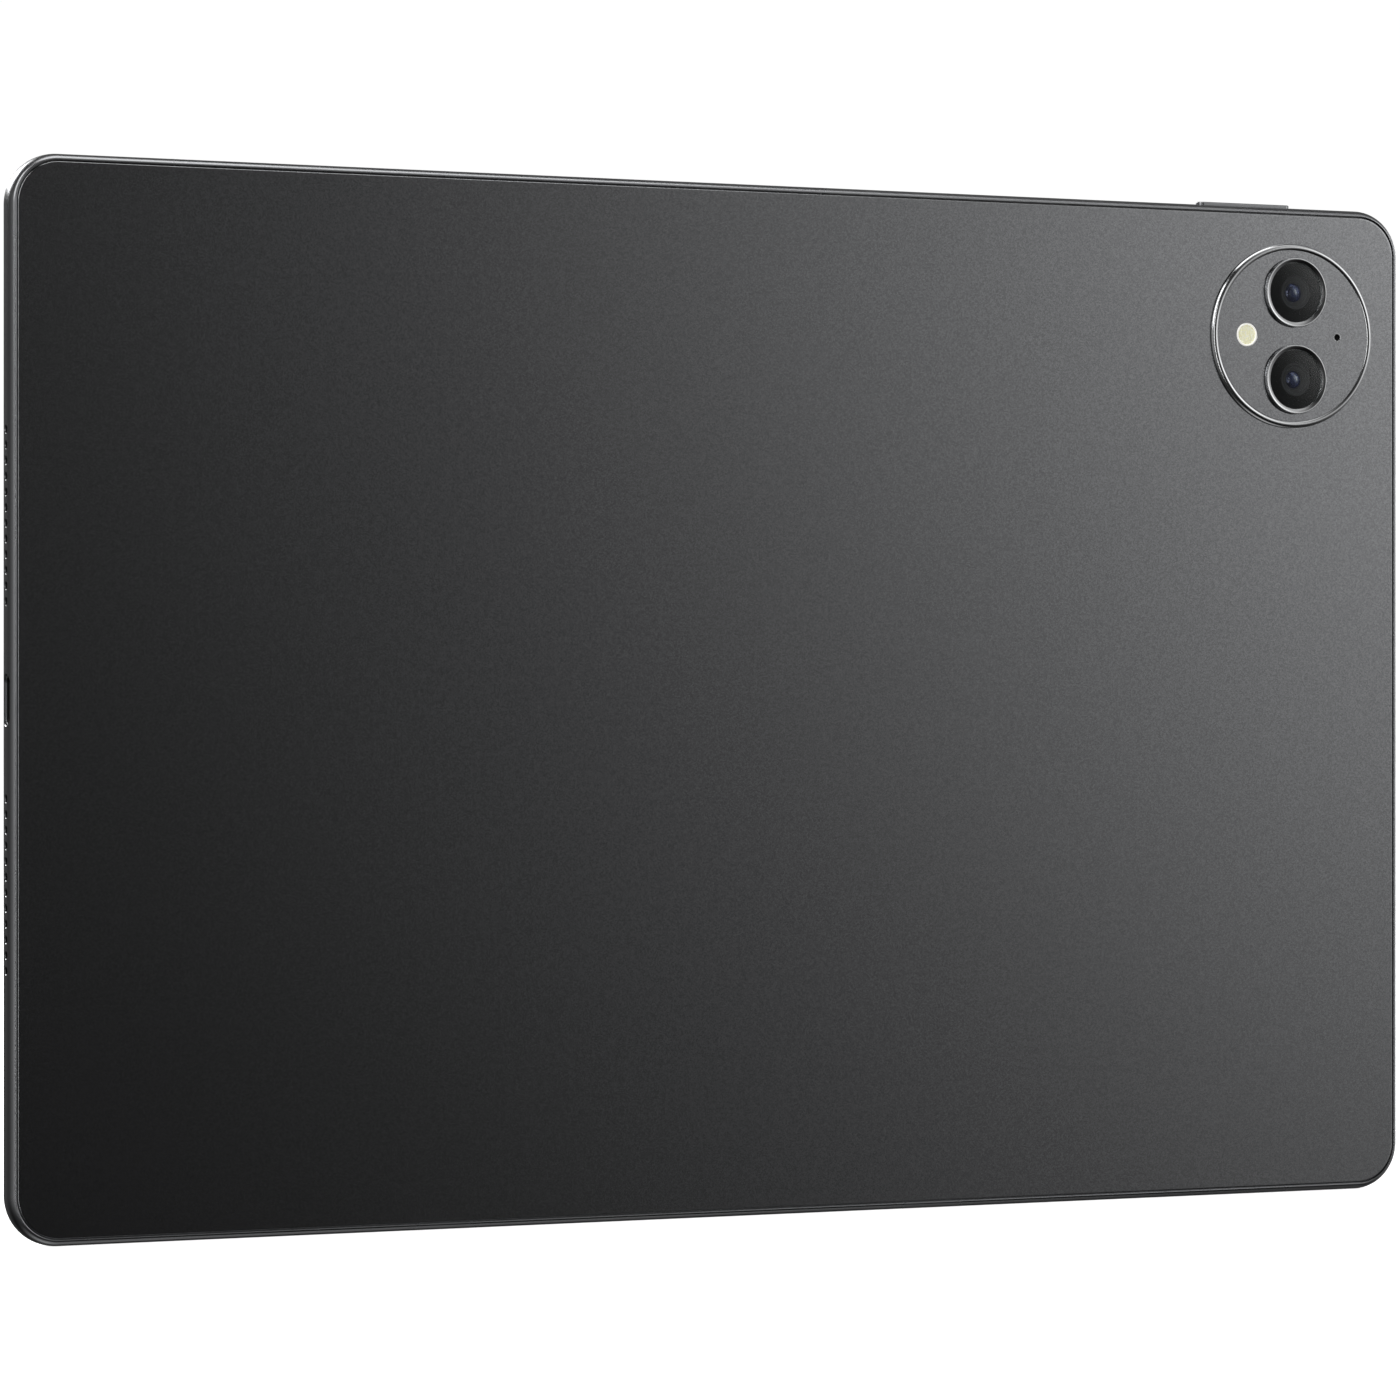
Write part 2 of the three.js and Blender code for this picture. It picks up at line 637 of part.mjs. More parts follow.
function penRailPieces() {
  const { z, coilX, magnetReach, rear, front } = penRail;
  const core = block(-13, 13, rear + 0.4, front - 0.4, -0.9, 0.9);
  const coil = join(core, block(-9, 9, rear, front, -1.3, 1.3));
  const magnet = block(-4, 4, rear, front, -1.2, 1.2);
  return [
    piece('pen_charging_coil', coil, 'copper', [coilX, 0, z]),
    piece('pen_magnet_left', magnet, 'magnet', [coilX - magnetReach, 0, z]),
    piece('pen_magnet_right', magnet, 'magnet', [coilX + magnetReach, 0, z]),
  ];
}

const tablet = assembly(
  [0, 0, 0],
  midFrame(),
  rearCover(),
  coverGlass(),
  ...gaskets(),
  ...display(),
  cameraIsland(),
  ...bracketScrews.map((place, i) => screwPiece(`camera_bracket_screw_${i + 1}`, place, bracket.rear)),
  volumeKeyGroup(),
  powerKeyGroup(),
  ...chargePort(),
  interconnectFlex(),
  ...speakers(),
  ...mainBoard(),
  ...batteries(),
  frontCameraModule(),
  ...penRailPieces(),
);

export default tablet;
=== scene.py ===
import json
import math

import bmesh
import bpy
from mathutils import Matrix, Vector


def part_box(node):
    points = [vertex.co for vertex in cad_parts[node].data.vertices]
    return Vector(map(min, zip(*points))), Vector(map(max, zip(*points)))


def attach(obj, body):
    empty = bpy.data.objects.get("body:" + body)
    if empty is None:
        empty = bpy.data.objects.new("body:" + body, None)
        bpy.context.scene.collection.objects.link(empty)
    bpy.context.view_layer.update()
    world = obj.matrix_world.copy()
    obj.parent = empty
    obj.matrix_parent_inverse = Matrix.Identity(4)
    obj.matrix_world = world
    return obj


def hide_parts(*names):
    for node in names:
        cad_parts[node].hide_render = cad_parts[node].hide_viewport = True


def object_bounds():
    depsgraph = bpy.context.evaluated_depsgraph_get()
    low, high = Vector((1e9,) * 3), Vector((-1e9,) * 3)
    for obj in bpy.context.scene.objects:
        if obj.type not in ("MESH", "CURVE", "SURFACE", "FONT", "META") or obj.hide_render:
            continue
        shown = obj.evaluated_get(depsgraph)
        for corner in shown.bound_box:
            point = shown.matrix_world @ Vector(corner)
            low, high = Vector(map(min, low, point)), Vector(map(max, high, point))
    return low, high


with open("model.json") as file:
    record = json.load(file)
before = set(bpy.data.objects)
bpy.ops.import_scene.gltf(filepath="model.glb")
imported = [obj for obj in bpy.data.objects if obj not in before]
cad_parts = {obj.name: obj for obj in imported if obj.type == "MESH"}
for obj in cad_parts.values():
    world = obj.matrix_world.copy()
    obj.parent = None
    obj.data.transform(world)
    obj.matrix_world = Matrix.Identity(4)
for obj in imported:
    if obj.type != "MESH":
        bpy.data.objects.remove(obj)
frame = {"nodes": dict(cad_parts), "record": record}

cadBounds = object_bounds()
mm = 0.001


def hexToLinear(code):
    channels = [int(code[i:i + 2], 16) / 255 for i in (1, 3, 5)]
    linear = [c / 12.92 if c <= 0.04045 else ((c + 0.055) / 1.055) ** 2.4 for c in channels]
    return (*linear, 1.0)


def perMillimetre(size):
    # the Scale that makes one pattern cell this many millimetres wide on Object coordinates
    return 1.0 / (size * mm)


def addNode(tree, kind, inputs=None, **settings):
    # inputs may hold values, sockets to link from, or a list of sockets for a socket that takes several
    node = tree.nodes.new(kind)
    for name, value in settings.items():
        setattr(node, name, value)
    for key, value in (inputs or {}).items():
        sources = value if isinstance(value, list) else [value]
        for source in sources:
            if isinstance(source, bpy.types.NodeSocket):
                tree.links.new(source, node.inputs[key])
            else:
                node.inputs[key].default_value = source
    return node


cameraSettings = {
    "lens": 134.49,                  # mm on a 36 mm wide sensor
    "place": (-414.85, -901.48, 0),  # mm, level with the middle of the tablet
    "turn": 24.2095,                 # degrees that the view turns from +Y towards +X
}


def makeCamera():
    lens = bpy.data.cameras.new("camera")
    lens.lens = cameraSettings["lens"]
    lens.sensor_width = 36
    lens.clip_start, lens.clip_end = 0.01, 50
    camera = bpy.data.objects.new("camera", lens)
    camera.location = Vector(cameraSettings["place"]) * mm
    camera.rotation_euler = (math.radians(90), 0, -math.radians(cameraSettings["turn"]))
    bpy.context.scene.collection.objects.link(camera)
    bpy.context.scene.camera = camera


# Each softbox: the direction it stands in as degrees from straight behind the rear cover towards +X, its
# height in degrees, its distance, width and height in metres, and its power in watts.
softboxes = {
    "leftSoftbox": (-54, 34, 1.5, 0.5, 1.1, 5.0),
    "rimStrip": (-12, 2, 1.6, 0.16, 1.1, 1.3),
    "topSoftbox": (24, 82, 1.4, 0.9, 1.0, 6.0),
    "rightSoftbox": (106, 4, 1.4, 0.3, 0.9, 2.4),
    "lowFill": (24, -62, 1.3, 0.9, 0.4, 0.3),
    "screenSoftbox": (205, 30, 1.6, 0.9, 0.7, 11.0),
}

# Soft glows on the studio walls: direction as above, spread in degrees, and brightness at the middle.
roomGlows = {
    "key": (46, 12.5, 10.3, 1.93),
    "high": (34.5, 51, 10.8, 1.1),
    "left": (-40, 2, 17.0, 0.52),
    "farLeft": (-88, 2, 20.0, 0.22),
    "right": (100, 2, 22.0, 0.6),
    "low": (200, -86, 15.0, 0.7),
}
# The bare walls are nearly black behind the cover's side, and brighten towards this direction.
bareWall = {"towards": (0, 0.9, 0.44), "from": 0.25, "dark": 0.0015, "pale": 0.1}
studioWhite = {"backdrop": 1.02, "tableTop": 0.93}   # brightness that the camera sees


def directionOf(side, height):
    a, e = math.radians(side), math.radians(height)
    return Vector((math.sin(a) * math.cos(e), -math.cos(a) * math.cos(e), math.sin(e)))


def makeLights():
    for name, (side, height, distance, wide, tall, power) in softboxes.items():
        light = bpy.data.lights.new(name, "AREA")
        light.shape = "RECTANGLE"
        light.size, light.size_y = wide, tall
        light.energy = power
        lamp = bpy.data.objects.new(name, light)
        away = directionOf(side, height)
        lamp.location = away * distance
        lamp.rotation_euler = away.to_track_quat("Z", "Y").to_euler()
        lamp.visible_camera = False
        bpy.context.scene.collection.objects.link(lamp)


def makeWorld():
    # A white studio to the camera, and a dim one with soft glows to everything that it lights.
    world = bpy.data.worlds.new("studio")
    bpy.context.scene.world = world
    world.use_nodes = True
    tree = world.node_tree
    tree.nodes.clear()
    toCamera = addNode(tree, "ShaderNodeLightPath").outputs["Is Camera Ray"]
    way = addNode(tree, "ShaderNodeTexCoord").outputs["Generated"]
    across = addNode(tree, "ShaderNodeVectorMath", {0: way, 1: bareWall["towards"]}, operation="DOT_PRODUCT")
    total = addNode(tree, "ShaderNodeMapRange", {
        "Value": across.outputs["Value"], "From Min": bareWall["from"], "To Min": bareWall["dark"],
        "To Max": bareWall["pale"]}, interpolation_type="SMOOTHSTEP").outputs["Result"]
    for side, height, spread, brightness in roomGlows.values():
        facing = addNode(tree, "ShaderNodeVectorMath", {0: way, 1: directionOf(side, height)},
                         operation="DOT_PRODUCT")
        short = addNode(tree, "ShaderNodeMath", {0: facing.outputs["Value"], 1: 1.0}, operation="SUBTRACT")
        scaled = addNode(tree, "ShaderNodeMath", {0: short.outputs[0], 1: math.radians(spread) ** -2},
                         operation="MULTIPLY")
        falloff = addNode(tree, "ShaderNodeMath", {0: scaled.outputs[0]}, operation="EXPONENT")
        total = addNode(tree, "ShaderNodeMath", {0: falloff.outputs[0], 1: brightness, 2: total},
                        operation="MULTIPLY_ADD").outputs[0]
    room = addNode(tree, "ShaderNodeBackground", {"Color": hexToLinear("#FFFFFF"), "Strength": total})
    backdrop = addNode(tree, "ShaderNodeBackground", {
        "Color": hexToLinear("#FFFFFF"), "Strength": studioWhite["backdrop"]})
    shown = addNode(tree, "ShaderNodeMixShader", {0: toCamera, 1: room.outputs[0], 2: backdrop.outputs[0]})
    addNode(tree, "ShaderNodeOutputWorld", {"Surface": shown.outputs[0]})


def mattPaint(tree, place):
    # Matt white paint that stays white to the camera in every light.
    white = hexToLinear("#FFFFFF")
    return {"Base Color": white, "Roughness": 0.9, "Emission Color": white,
            "Emission Strength": studioWhite["tableTop"]}


def makeFloor():
    # A wide white table top under the long edge that the tablet stands on.
    low = cadBounds[0]
    half, z = 6.0, low.z - 0.05 * mm
    corners = [(-half, -half, z), (half, -half, z), (half, half, z), (-half, half, z)]
    mesh = bpy.data.meshes.new("studioFloor")
    mesh.from_pydata(corners, [], [(0, 1, 2, 3)])
    floor = bpy.data.objects.new("studioFloor", mesh)
    bpy.context.scene.collection.objects.link(floor)
    mesh.materials.append(mixed("paintedTableTop", mattPaint))
    floor.visible_glossy = False
    floor.visible_diffuse = False
    floor.visible_transmission = False


def mixed(name, recipe, *values, **settings):
    # A material from a recipe that takes the tree and Object coordinates and returns the shader's inputs.
    material = bpy.data.materials.new(name)
    material.use_nodes = True
    tree = material.node_tree
    tree.nodes.clear()
    place = addNode(tree, "ShaderNodeTexCoord").outputs["Object"]
    shader = addNode(tree, "ShaderNodeBsdfPrincipled", recipe(tree, place, *values, **settings))
    addNode(tree, "ShaderNodeOutputMaterial", {"Surface": shader.outputs[0]})
    return material


def blastedAluminium(tree, place):
    # Anodised aluminium, bead blasted: a soft metal sheen that runs along the edges, with a fine sparkle.
    beads = addNode(tree, "ShaderNodeTexNoise", {
        "Vector": place, "Scale": perMillimetre(0.16), "Detail": 3.0})
    drift = addNode(tree, "ShaderNodeTexNoise", {"Vector": place, "Scale": perMillimetre(38), "Detail": 1.0})
    tint = addNode(tree, "ShaderNodeMix", {
        "Factor": beads.outputs["Fac"], 6: hexToLinear("#969799"), 7: hexToLinear("#A8A9AB")},
        data_type="RGBA")
    rough = addNode(tree, "ShaderNodeMapRange", {
        "Value": drift.outputs["Fac"], "From Min": 0.3, "From Max": 0.7, "To Min": 0.24, "To Max": 0.29})
    relief = addNode(tree, "ShaderNodeBump", {
        "Height": beads.outputs["Fac"], "Strength": 0.12, "Distance": 0.012 * mm})
    return {
        "Base Color": tint.outputs[2], "Metallic": 1.0, "Roughness": rough.outputs["Result"],
        "Normal": relief.outputs["Normal"]}


def satinCoat(tree, place):
    # Metal-flake lacquer baked on a flat cover: dark where it mirrors dark, pale where it mirrors light, and
    # a dense fine grain of flakes that only shows close up.
    flakes = addNode(tree, "ShaderNodeTexVoronoi", {"Vector": place, "Scale": perMillimetre(0.22)})
    specks = addNode(tree, "ShaderNodeTexNoise", {
        "Vector": place, "Scale": perMillimetre(0.4), "Detail": 4.0})
    flakeShade = addNode(tree, "ShaderNodeSeparateColor", {"Color": flakes.outputs["Color"]}).outputs["Red"]
    tint = addNode(tree, "ShaderNodeMix", {
        "Factor": flakeShade, 6: hexToLinear("#98999B"), 7: hexToLinear("#B4B5B7")}, data_type="RGBA")
    rough = addNode(tree, "ShaderNodeMapRange", {
        "Value": specks.outputs["Fac"], "From Min": 0.3, "From Max": 0.7, "To Min": 0.14, "To Max": 0.18})
    relief = addNode(tree, "ShaderNodeBump", {
        "Height": specks.outputs["Fac"], "Strength": 0.1, "Distance": 0.01 * mm})
    return {
        "Base Color": tint.outputs[2], "Metallic": 1.0, "Roughness": rough.outputs["Result"],
        "Normal": relief.outputs["Normal"]}


def polishedSteel(tree, place):
    # Stainless steel, turned and buffed: near-mirror bands with faint turning marks.
    wear = addNode(tree, "ShaderNodeTexNoise", {"Vector": place, "Scale": perMillimetre(1.6), "Detail": 3.0})
    rough = addNode(tree, "ShaderNodeMapRange", {
        "Value": wear.outputs["Fac"], "From Min": 0.3, "From Max": 0.7, "To Min": 0.12, "To Max": 0.19})
    return {
        "Base Color": hexToLinear("#D9DADB"), "Metallic": 1.0, "Roughness": rough.outputs["Result"]}


def clearGlass(tree, place, rough=0.02, ior=1.5, tint="#F4F8F8"):
    # Chemically strengthened glass: clear, with a hard reflection of whatever light stands in front. A lower
    # ior stands for an anti-reflection coating.
    film = addNode(tree, "ShaderNodeTexNoise", {"Vector": place, "Scale": perMillimetre(22), "Detail": 2.0})
    smear = addNode(tree, "ShaderNodeMapRange", {
        "Value": film.outputs["Fac"], "From Min": 0.3, "From Max": 0.7,
        "To Min": rough, "To Max": rough + 0.02})
    return {
        "Base Color": hexToLinear(tint), "Roughness": smear.outputs["Result"], "IOR": ior,
        "Transmission Weight": 1.0}


def printedBlack(tree, place):
    # Screen-printed ink behind glass: an even black with a slight tooth.
    tooth = addNode(tree, "ShaderNodeTexNoise", {"Vector": place, "Scale": perMillimetre(0.3), "Detail": 2.0})
    tint = addNode(tree, "ShaderNodeMix", {
        "Factor": tooth.outputs["Fac"], 6: hexToLinear("#020203"), 7: hexToLinear("#060607")},
        data_type="RGBA")
    return {
        "Base Color": tint.outputs[2], "Roughness": 0.4, "IOR": 1.45, "Specular IOR Level": 0.12}


def oledLayers(tree, place):
    # A switched-off OLED stack: near black with a cool tint and a faint grid. A wave repeats every 0.314 of
    # its cell, so the grid's lines stand 5.65 mm apart, much wider than the pixels of a real panel.
    rows = [addNode(tree, "ShaderNodeTexWave", {
        "Vector": place, "Scale": perMillimetre(18)}, bands_direction=axis, wave_profile="SIN")
        for axis in ("X", "Z")]
    grid = addNode(tree, "ShaderNodeMath", {0: rows[0].outputs["Fac"], 1: rows[1].outputs["Fac"]},
                   operation="MULTIPLY")
    tint = addNode(tree, "ShaderNodeMix", {
        "Factor": grid.outputs[0], 6: hexToLinear("#07080B"), 7: hexToLinear("#101218")}, data_type="RGBA")
    return {
        "Base Color": tint.outputs[2], "Roughness": 0.28, "IOR": 1.5}


def mouldedPlastic(tree, place, dark, pale, roughness, grain):
    # Glass-filled nylon or polycarbonate, injection moulded: matt with a spark-eroded grain.
    erosion = addNode(tree, "ShaderNodeTexNoise", {
        "Vector": place, "Scale": perMillimetre(grain), "Detail": 3.0})
    tint = addNode(tree, "ShaderNodeMix", {
        "Factor": erosion.outputs["Fac"], 6: hexToLinear(dark), 7: hexToLinear(pale)}, data_type="RGBA")
    relief = addNode(tree, "ShaderNodeBump", {
        "Height": erosion.outputs["Fac"], "Strength": 0.25, "Distance": 0.02 * mm})
    return {
        "Base Color": tint.outputs[2], "Roughness": roughness, "IOR": 1.5,
        "Normal": relief.outputs["Normal"]}


def coatedElement(tree, place):
    # A lens element with an anti-reflection coating: black depth, with a painted blue to green sheen in its
    # colour that brightens towards the rim as the surface turns away from the view.
    edge = addNode(tree, "ShaderNodeLayerWeight", {"Blend": 0.55}).outputs["Facing"]
    paintedRimSheen = addNode(tree, "ShaderNodeValToRGB", {"Fac": edge})
    ramp = paintedRimSheen.color_ramp
    ramp.elements[0].color = hexToLinear("#060A16")
    ramp.elements[1].color = hexToLinear("#2C5A5A")
    ramp.elements.new(0.45).color = hexToLinear("#17233F")
    return {
        "Base Color": paintedRimSheen.outputs["Color"], "Roughness": 0.04, "IOR": 1.7, "Coat Weight": 1.0,
        "Coat Roughness": 0.02, "Coat Tint": hexToLinear("#9FB4FF")}


def pupilGlass(tree, place):
    # The deepest element, seen through the stop: a deep blue bead, with a painted sheen in its colour that
    # turns paler blue towards its rim as the surface turns away from the view.
    edge = addNode(tree, "ShaderNodeLayerWeight", {"Blend": 0.4}).outputs["Facing"]
    paintedRimSheen = addNode(tree, "ShaderNodeMix", {
        "Factor": edge, 6: hexToLinear("#0A1436"), 7: hexToLinear("#2A4A88")}, data_type="RGBA")
    return {
        "Base Color": paintedRimSheen.outputs[2], "Roughness": 0.05, "IOR": 1.8, "Coat Weight": 1.0,
        "Coat Roughness": 0.02}


def yellowPhosphor(tree, place):
    # Phosphor cast over the flash diodes: pale yellow and grainy, with a painted glow in its own tint from
    # emission, though it is no lamp.
    grains = addNode(tree, "ShaderNodeTexVoronoi", {"Vector": place, "Scale": perMillimetre(0.28)})
    shade = addNode(tree, "ShaderNodeSeparateColor", {"Color": grains.outputs["Color"]}).outputs["Red"]
    tint = addNode(tree, "ShaderNodeMix", {
        "Factor": shade, 6: hexToLinear("#EFE6BE"), 7: hexToLinear("#F8F4E0")}, data_type="RGBA")
    return {
        "Base Color": tint.outputs[2], "Roughness": 0.6, "Emission Color": tint.outputs[2],
        "Emission Strength": 0.35}


def diffuserPlastic(tree, place):
    # Milky acrylic, moulded: the flash's white rim, with a painted warm white glow from emission, though it
    # is no lamp.
    cloud = addNode(tree, "ShaderNodeTexNoise", {"Vector": place, "Scale": perMillimetre(0.8), "Detail": 2.0})
    tint = addNode(tree, "ShaderNodeMix", {
        "Factor": cloud.outputs["Fac"], 6: hexToLinear("#F2F1EC"), 7: hexToLinear("#FFFFFF")},
        data_type="RGBA")
    return {
        "Base Color": tint.outputs[2], "Roughness": 0.35, "Emission Color": hexToLinear("#FFFDF6"),
        "Emission Strength": 0.55}


def rolledMetal(tree, place, dark, pale, roughness, grainAlong):
    # Cold-rolled sheet or wire: metal with long faint rolling lines.
    stretched = addNode(tree, "ShaderNodeMapping", {"Vector": place, "Scale": (1.0, 1.0, grainAlong)})
    lines = addNode(tree, "ShaderNodeTexNoise", {
        "Vector": stretched.outputs[0], "Scale": perMillimetre(0.5), "Detail": 3.0})
    tint = addNode(tree, "ShaderNodeMix", {
        "Factor": lines.outputs["Fac"], 6: hexToLinear(dark), 7: hexToLinear(pale)}, data_type="RGBA")
    return {
        "Base Color": tint.outputs[2], "Metallic": 1.0, "Roughness": roughness}


def solderMask(tree, place):
    # Epoxy circuit board under solder mask: green-black with copper tracks showing faintly through it.
    tracks = addNode(tree, "ShaderNodeTexBrick", {
        "Vector": place, "Scale": perMillimetre(2.4), "Color1": hexToLinear("#16382A"),
        "Color2": hexToLinear("#1D4634"), "Mortar": hexToLinear("#3C5A34"), "Mortar Size": 0.02})
    return {
        "Base Color": tracks.outputs["Color"], "Roughness": 0.42, "IOR": 1.55}


def blackFoam(tree, place):
    # Die-cut adhesive foam: closed cells, no shine.
    cells = addNode(tree, "ShaderNodeTexVoronoi", {"Vector": place, "Scale": perMillimetre(0.25)})
    relief = addNode(tree, "ShaderNodeBump", {
        "Height": cells.outputs["Distance"], "Strength": 0.5, "Distance": 0.03 * mm})
    return {
        "Base Color": hexToLinear("#141415"), "Roughness": 0.92, "Normal": relief.outputs["Normal"]}


def makeMaterials():
    return {
        "frame_metal": mixed("anodisedAluminiumBlasted", blastedAluminium),
        "rear_coat": mixed("metalFlakeLacquerSatin", satinCoat),
        "polished_metal": mixed("stainlessSteelPolished", polishedSteel),
        "front_glass": mixed("strengthenedFrontGlass", clearGlass),
        "lens_glass": mixed("lensCoverGlass", clearGlass, 0.015, ior=1.3),
        "display": mixed("oledStackUnlit", oledLayers),
        "printed": mixed("screenPrintedInkBlack", printedBlack),
        "flash_lens": mixed("acrylicMilkyPaintedGlow", diffuserPlastic),
        "phosphor": mixed("phosphorSiliconePaintedGlow", yellowPhosphor),
        "element": mixed("coatedLensElementPaintedSheen", coatedElement),
        "pupil": mixed("coatedLensPupilPaintedSheen", pupilGlass),
        "gasket": mixed("acrylicFoamTape", blackFoam),
        "module_plastic": mixed("filledNylonMoulded", mouldedPlastic, "#0B0B0D", "#16171A", 0.55, 0.2),
        "steel": mixed("stainlessSteelStamped", rolledMetal, "#8E9092", "#B2B4B6", 0.32, 0.1),
        "shield_metal": mixed("tinPlatedSteel", rolledMetal, "#9DA0A2", "#C2C4C5", 0.36, 0.1),
        "mesh_metal": mixed("wovenSteelWireBlacked", rolledMetal, "#1B1B1C", "#3A3B3D", 0.45, 0.4),
        "board": mixed("circuitBoardMasked", solderMask),
        "flex": mixed("polyimideFilm", mouldedPlastic, "#7A4A16", "#9A6424", 0.38, 1.2),
        "graphite": mixed("graphiteSheet", rolledMetal, "#2B2C2E", "#4A4B4E", 0.5, 0.3),
        "battery_pouch": mixed("aluminiumLaminatePouch", mouldedPlastic, "#26282C", "#34363B", 0.36, 2.5),
        "copper": mixed("copperLitzWound", rolledMetal, "#9A5528", "#C77C48", 0.35, 0.05),
        "magnet": mixed("nickelPlatedMagnet", rolledMetal, "#9A9DA0", "#B9BCBF", 0.25, 0.6),
        "gold": mixed("goldPlatedContact", rolledMetal, "#B8923A", "#D9B45C", 0.28, 0.3),
    }


def filleted(corners, steps=5, share=0.48):
    # Rounds a chain of (across, along, setback) corners; a setback of 0 keeps the corner sharp, and no
    # rounding takes more than this share of a side.
    chain = []
    for i, (across, along, setback) in enumerate(corners):
        here = Vector((across, along))
        if setback == 0 or i in (0, len(corners) - 1):
            chain.append(here)
            continue
        before = Vector(corners[i - 1][:2]) - here
        after = Vector(corners[i + 1][:2]) - here
        start = here + before.normalized() * min(setback, before.length * share)
        end = here + after.normalized() * min(setback, after.length * share)
        for k in range(steps + 1):
            t = k / steps
            chain.append(start * (1 - t) ** 2 + here * 2 * t * (1 - t) + end * t ** 2)
    return [tuple(point) for point in chain]


def roundedOutline(width, height, radius, steps):
    outline = []
    for quarter in range(4):
        side = 1 if quarter in (0, 3) else -1
        top = 1 if quarter < 2 else -1
        for k in range(steps + 1):
            angle = (quarter + k / steps) * math.pi / 2
            outline.append((side * (width / 2 - radius) + radius * math.cos(angle),
                            top * (height / 2 - radius) + radius * math.sin(angle)))
    return outline


def newPiece(name, shape):
    mesh = bpy.data.meshes.new(name)
    bmesh.ops.remove_doubles(shape, verts=shape.verts, dist=1e-7)
    bmesh.ops.recalc_face_normals(shape, faces=shape.faces)
    shape.to_mesh(mesh)
    shape.free()
    piece = bpy.data.objects.new(name, mesh)
    bpy.context.scene.collection.objects.link(piece)
    return piece


def loft(name, rows, outlineAt, placeAt, capped=True):
    # Skins the outlines that outlineAt(inset) gives, from the first (inset, level) row to the last.
    shape = bmesh.new()
    rings = [[shape.verts.new(placeAt(u, v, level)) for u, v in outlineAt(inset)] for inset, level in rows]
    count = len(rings[0])
    pairs = list(zip(rings, rings[1:]))
    if not capped:
        pairs.append((rings[-1], rings[0]))
    for near, far in pairs:
        for j in range(count):
            k = (j + 1) % count
            shape.faces.new((near[j], near[k], far[k], far[j]))
    if capped:
        shape.faces.new(rings[0])
        shape.faces.new(rings[-1])
    return newPiece(name, shape)


def turned(name, profile, centre, segments=96, alongX=False):
    # Turns a (radius, level) profile about an axis along Y, or along X, in millimetres; a profile that starts
    # and ends on the axis is solid, and any other closes on itself.
    shape = bmesh.new()

    def placed(radius, angle, level):
        u, v = radius * math.cos(angle), radius * math.sin(angle)
        offset = Vector((level, u, v)) if alongX else Vector((u, level, v))
        return (Vector(centre) + offset) * mm

    rings = []
    for radius, level in profile:
        if radius < 1e-9:
            rings.append([shape.verts.new(placed(0, 0, level))])
        else:
            rings.append([shape.verts.new(placed(radius, 2 * math.pi * j / segments, level))
                          for j in range(segments)])
    solid = len(rings[0]) == 1 and len(rings[-1]) == 1
    pairs = list(zip(rings, rings[1:])) + ([] if solid else [(rings[-1], rings[0])])
    for near, far in pairs:
        for j in range(segments):
            k = (j + 1) % segments
            corners = [near[j % len(near)], near[k % len(near)], far[k % len(far)], far[j % len(far)]]
            corners = list(dict.fromkeys(corners))
            if len(corners) > 2:
                shape.faces.new(corners)
    return newPiece(name, shape)


def domed(radius, arc, level, rise, steps):
    # The (radius, level) rows of a round dome that spans this arc in radians, from the axis outwards.
    rows = [(0, level)]
    for k in range(1, steps + 1):
        angle = k / steps * arc
        rows.append((radius * math.sin(angle) / math.sin(arc),
                     level + rise * (1 - math.cos(angle)) / (1 - math.cos(arc))))
    return rows


def onBody(u, v, level):
    return Vector((u, level, v)) * mm


def boxPiece(name, low, high):
    shape = bmesh.new()
    bmesh.ops.create_cube(shape, size=1.0)
    for vert in shape.verts:
        vert.co = Vector((low[i] + (vert.co[i] + 0.5) * (high[i] - low[i]) for i in range(3)))
    return newPiece(name, shape)


def settle(piece):
    # Turns what the modifiers show into the piece's own plain mesh, and drops the modifiers.
    bpy.context.view_layer.update()
    graph = bpy.context.evaluated_depsgraph_get()
    mesh = bpy.data.meshes.new_from_object(piece.evaluated_get(graph))
    piece.modifiers.clear()
    piece.data = mesh
    return piece


def cutAway(piece, *cutters):
    for cutter in cutters:
        knife = piece.modifiers.new(cutter.name, "BOOLEAN")
        knife.operation = "DIFFERENCE"
        knife.solver = "EXACT"
        knife.use_self = False
        knife.object = cutter
    settle(piece)
    for cutter in cutters:
        bpy.data.objects.remove(cutter)
    return piece


def growGeometry(name, inputs, build, material, source=None):
    # Runs a Geometry Nodes tree with named inputs once and keeps the result as a plain mesh.
    tree = bpy.data.node_groups.new(name, "GeometryNodeTree")
    tree.interface.new_socket("Geometry", in_out="INPUT", socket_type="NodeSocketGeometry")
    tree.interface.new_socket("Geometry", in_out="OUTPUT", socket_type="NodeSocketGeometry")
    identifiers = {}
    for label, value in inputs.items():
        kind = {int: "NodeSocketInt", float: "NodeSocketFloat", tuple: "NodeSocketVector"}[type(value)]
        identifiers[label] = tree.interface.new_socket(label, in_out="INPUT", socket_type=kind).identifier
    entry = addNode(tree, "NodeGroupInput").outputs
    whole = addNode(tree, "GeometryNodeRealizeInstances", {"Geometry": build(tree, entry)})
    painted = addNode(tree, "GeometryNodeSetMaterial", {"Geometry": whole.outputs[0], "Material": material})
    addNode(tree, "NodeGroupOutput", {0: painted.outputs[0]})
    piece = bpy.data.objects.new(name, source or bpy.data.meshes.new(name))
    bpy.context.scene.collection.objects.link(piece)
    grower = piece.modifiers.new(name, "NODES")
    grower.node_group = tree
    for label, value in inputs.items():
        grower[identifiers[label]] = value
    return settle(piece)


